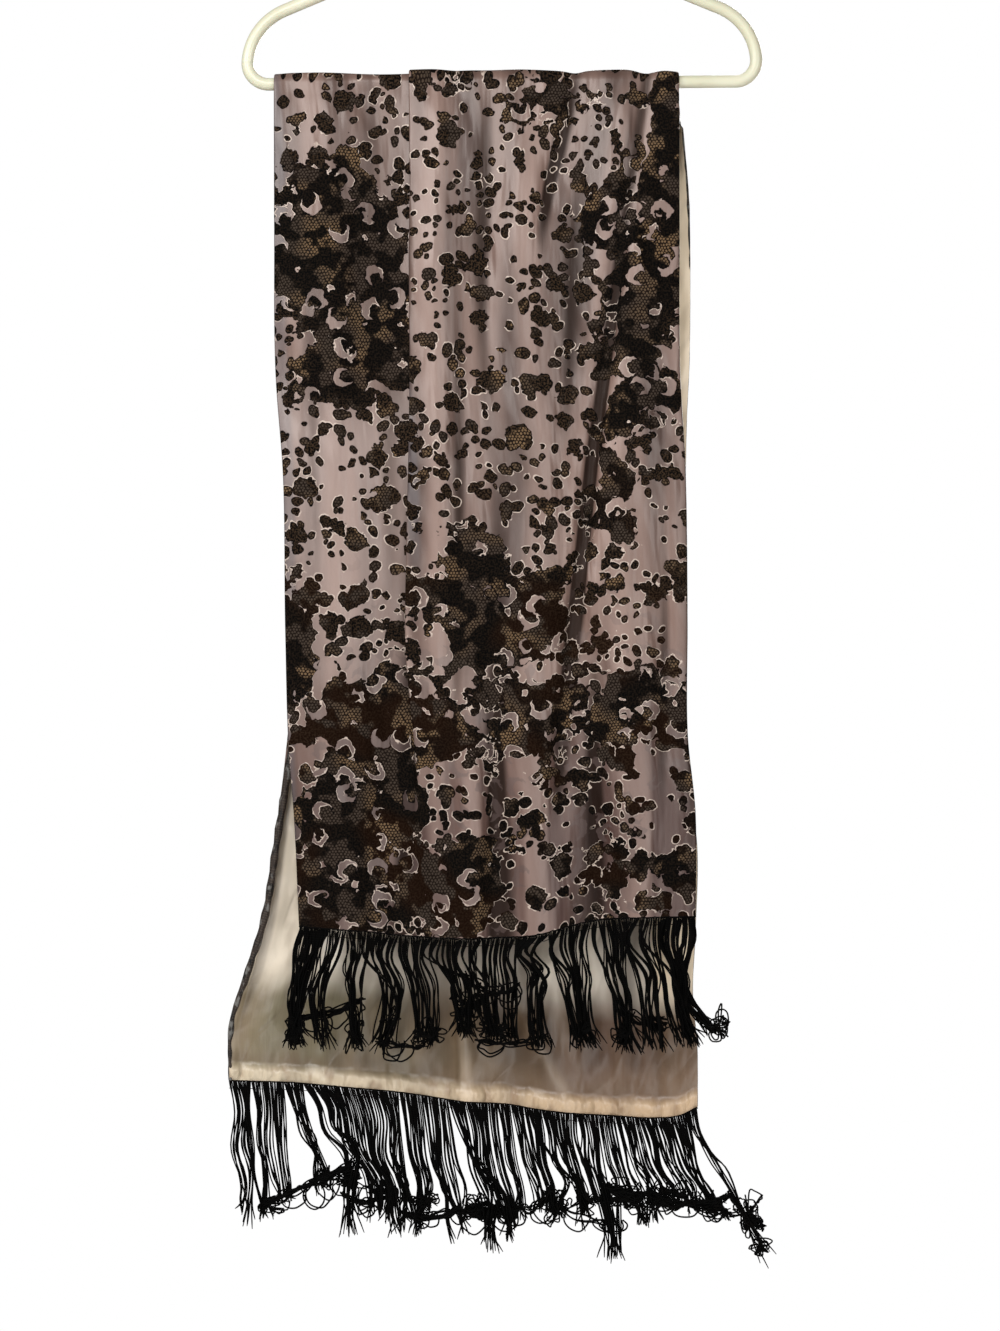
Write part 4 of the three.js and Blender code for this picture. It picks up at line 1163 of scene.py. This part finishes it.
def rolled_face():
    """The face where it is rolled round the cloth's edge: its lace side out, dark with painted glints.
    """
    m = Material("rolled_face")
    place = m.place_in_space()
    tone = m.noise(place, 9, 2)
    # painted glints: pale grey flecks on the dark roll
    painted_glint = m.noise(place * (1, 1, 0.5), 5, 2)
    mesh_edge = m.cells(m.place(), 2.2, 0.4, "DISTANCE_TO_EDGE")
    colour = m.painted(
        (14, 11, 10),
        (tone.rise(0.4, 0.6), (44, 35, 30)),
        (mesh_edge.rise(0.3, 0.6) * 0.4, (92, 80, 70)),
        (painted_glint.rise(0.56, 0.66) * 0.7, (120, 118, 114)),
    )
    m.relief(tone * 0.3 + mesh_edge.rise(0.6, 0.3) * 0.15)
    m.set(Base_Color=colour, Roughness=tone * 0.2 + 0.45, Specular_IOR_Level=0.3)
    return m.made


def satin_lining():
    """Champagne satin: soft creases too small for the mesh, and a puffed, puckered band by each hem,
    with painted light and shade over its creases, edges, band and right side.
    """
    m = Material("satin_lining")
    place = m.place()
    across, along, _ = place.parts()
    tone = m.noise(place * (1, 0.5, 1), 60, 3)
    streak = m.noise(place * (1, 0.03, 1), 1.6, 2)
    # painted shade: the lining darker, and its hem band browner, towards its right side
    painted_shade_to_right = across.rise(60, 330)
    edge_wave = m.noise(place, 22, 2)
    from_hem = along + (LENGTH - FRONT_DROP) + (edge_wave - 0.5) * 8
    band = from_hem.rise(18, 8)
    # painted light: the lining lighter in the reach just under the front's hem
    painted_light_under_front = from_hem.rise(72, 112)
    # painted light on the lining's strips by its long edges, under the front
    sides = (across.rise(CUT_WIDTH - 40, CUT_WIDTH - 30) + across.rise(70, 50) * 0.3) * painted_light_under_front
    shade = from_hem.rise(32, 19) * from_hem.rise(13, 19)
    # painted light: the band over each hem lighter, browner towards the right
    painted_band_light = m.blend(painted_shade_to_right, (222, 204, 176), (208, 178, 142))
    hollow = m.hollow()
    crease = m.noise(place.turned(0.5) * (1, 0.4, 1), 30, 1)
    fold = (crease - 0.5).math("ABSOLUTE").rise(0.0, 0.06)
    pucker = m.noise(place * (1, 0.4, 1) + (33, 0, 0), 12, 2)
    soft = m.noise(place * (1, 0.5, 1) + (0, 77, 0), 42, 2)
    colour = m.painted(
        (122, 113, 88),
        (painted_shade_to_right, (88, 60, 40)),
        (tone.rise(0.3, 0.7) * 0.5, (132, 106, 80)),
        (streak.rise(0.4, 0.8) * 0.3, (98, 80, 62)),
        (painted_light_under_front * 0.9, (246, 234, 216)),
        (sides * 0.95, (255, 234, 202)),
        (shade * 0.4, (104, 84, 64)),
        (band * 0.7, painted_band_light),
        # painted highlight where the lining stands out (a hollow of the face), and painted shade in its
        # creases
        (hollow.rise(0.2, 2.4) * 0.22, (226, 206, 182)),
        (hollow.rise(-0.15, -1.4) * 0.5, (78, 60, 45)),
        # painted shade between the puckers of the hem band
        (pucker.rise(0.5, 0.34) * band * 0.6, (136, 108, 80)),
        # painted shade along the small creases
        ((1 - fold) * 0.12, (112, 92, 72)),
    )
    weave = m.noise(place * (0.3, 1, 1), 0.45, 1)
    m.relief(fold * 0.2 + weave * 0.04 + crease * 7 + soft * 15 + pucker * (band * 6 + 0.8))
    m.set(Base_Color=colour, Roughness=tone * 0.1 + 0.38, Specular_IOR_Level=0.7)
    return m.made


def black_yarn():
    """Twisted rayon yarn: slanting plies, each a little shiny on its back."""
    m = Material("black_yarn")
    around, along, _ = m.layer("cut").parts()
    twist = (around * (4 * math.pi) + along * 3400).math("SINE") * 0.5 + 0.5
    tone = m.noise(m.place_in_space(), 9, 2)
    colour = m.painted((3, 3, 3), (twist * 0.7, (12, 11, 10)), (tone.rise(0.5, 0.8) * 0.4, (15, 12, 10)))
    m.relief(twist * 0.15)
    m.set(Base_Color=colour, Roughness=twist * 0.12 + 0.5, Specular_IOR_Level=0.03)
    return m.made


def hanger_plastic():
    """Moulded off-white plastic: a faint orange-peel skin, a parting line, and scuffs of wear."""
    m = Material("hanger_plastic")
    around, _, _ = m.layer("cut").parts()
    place = m.place_in_space()
    tone = m.noise(place, 38, 3)
    peel = m.noise(place, 1.3, 2)
    scuff = m.noise(place * (0.2, 1, 1), 5, 4, 0.65)
    part = (around - 0.5).math("ABSOLUTE").rise(0.012, 0.0)
    colour = m.painted(
        (203, 201, 175),
        (tone.rise(0.3, 0.7), (212, 210, 186)),
        (scuff.rise(0.58, 0.72) * 0.35, (184, 178, 150)),
    )
    m.relief(peel * 0.05 + part * 0.14)
    m.set(Base_Color=colour, Roughness=scuff.rise(0.45, 0.7) * 0.18 + 0.3)
    m.set(Specular_IOR_Level=0.45, Subsurface_Weight=0.05)
    return m.made


def studio_floor():
    """A pale matt floor."""
    m = Material("studio_floor")
    tone = m.noise(m.place_in_space(), 300, 3)
    m.set(Base_Color=m.blend(tone, (240, 240, 238), (248, 247, 245)), Roughness=tone * 0.1 + 0.8)
    return m.made


# ---- the scarf and its hanger
yarn = black_yarn()
lace = lace_face()
plastic = hanger_plastic()
grid = cloth_grid()
half_gap = LAYER_GAP / 2
face = add_shell("face_cloth", grid, half_gap, half_gap + FACE_THICK, lace, "face_cloth")
inside = -half_gap - LINING_THICK - hem_puff(grid)
lining = add_shell("lining_cloth", grid, inside, -half_gap, satin_lining(), "lining_cloth")
rolls = join_parts([rolled_edge(grid, 0), rolled_edge(grid, -1)])
edges = add_mesh("rolled_edges", *rolls, rolled_face(), "face_cloth")
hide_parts("face_front", "face_back")
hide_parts("lining_front", "lining_back")
front_fringe = add_fringe(
    "fringe_front_yarns", "fringe_front", grid.points[0], grid.points[2],
    FRONT_LOCKS, FRONT_SKEINS, FRONT_TANGLES, FRONT_STRANDS, WAVY, yarn,
)
back_fringe = add_fringe(
    "fringe_back_yarns", "fringe_back", grid.points[-1], grid.points[-3],
    BACK_LOCKS, BACK_SKEINS, BACK_TANGLES, BACK_STRANDS, STRAIGHT, yarn,
)
add_frame_tube(plastic)
add_hook(plastic)


# ---- camera, light and floor
PHOTO_HEIGHT = 1331                # in pixels
PIXEL = 0.8046 * MM                # one pixel of the photo, at the scarf
MIDDLE = (-1.6 * MM, -678.7 * MM)  # the picture's middle: x and z
CAMERA_DISTANCE = 2.6
WORLD_LIGHT = 0.14


def add_camera():
    data = bpy.data.cameras.new("camera")
    data.sensor_width = 36
    data.lens = data.sensor_width * CAMERA_DISTANCE / (PHOTO_HEIGHT * PIXEL)
    camera = bpy.data.objects.new("camera", data)
    camera.location = (MIDDLE[0], -CAMERA_DISTANCE, MIDDLE[1])
    camera.rotation_euler = (math.radians(90), 0, 0)
    bpy.context.collection.objects.link(camera)
    bpy.context.scene.camera = camera


def add_light(name, place, target, size, power):
    """A white soft box: size in metres and power in watts."""
    data = bpy.data.lights.new(name, "AREA")
    data.shape = "RECTANGLE"
    data.size, data.size_y = size
    data.energy = power
    light = bpy.data.objects.new(name, data)
    light.location = place
    light.rotation_euler = (Vector(target) - Vector(place)).to_track_quat("-Z", "Y").to_euler()
    bpy.context.collection.objects.link(light)


def add_world():
    """White all round: full where the camera sees it, and softer as light."""
    world = bpy.data.worlds.new("studio")
    world.use_nodes = True
    tree = world.node_tree
    background = tree.nodes["Background"]
    background.inputs["Color"].default_value = (1, 1, 1, 1)
    ray = tree.nodes.new("ShaderNodeLightPath")
    strength = tree.nodes.new("ShaderNodeMapRange")
    strength.inputs["To Min"].default_value = WORLD_LIGHT
    strength.inputs["To Max"].default_value = 1
    tree.links.new(ray.outputs["Is Camera Ray"], strength.inputs["Value"])
    tree.links.new(strength.outputs["Result"], background.inputs["Strength"])
    bpy.context.scene.world = world


def add_floor():
    """A plain pale disc under the scarf, below the picture."""
    radius, z = 1.6, -1.9
    turn = np.linspace(0, 2 * math.pi, 65)[:-1]
    mesh = bpy.data.meshes.new("floor")
    rim = [(radius * math.cos(a), radius * math.sin(a), z) for a in turn]
    mesh.from_pydata(rim, [], [list(range(len(rim)))])
    mesh.materials.append(studio_floor())
    floor = bpy.data.objects.new("floor", mesh)
    bpy.context.collection.objects.link(floor)


add_camera()
add_world()
add_floor()
centre = (0, 0, -0.7)
add_light("front", (-0.45, -1.75, 0.3), centre, (0.8, 0.8), 21)
add_light("key", (-1.9, -1.6, 0.45), centre, (0.7, 1.1), 38)
add_light("fill", (1.4, -2.0, -0.2), centre, (1.0, 1.0), 20)
add_light("low", (0.3, -2.0, -1.5), (0, 0, -0.95), (0.6, 0.6), 7)
add_light("back", (0.8, 2.1, 0.2), centre, (1.4, 1.4), 70)
bpy.context.scene.view_settings.view_transform = "Standard"
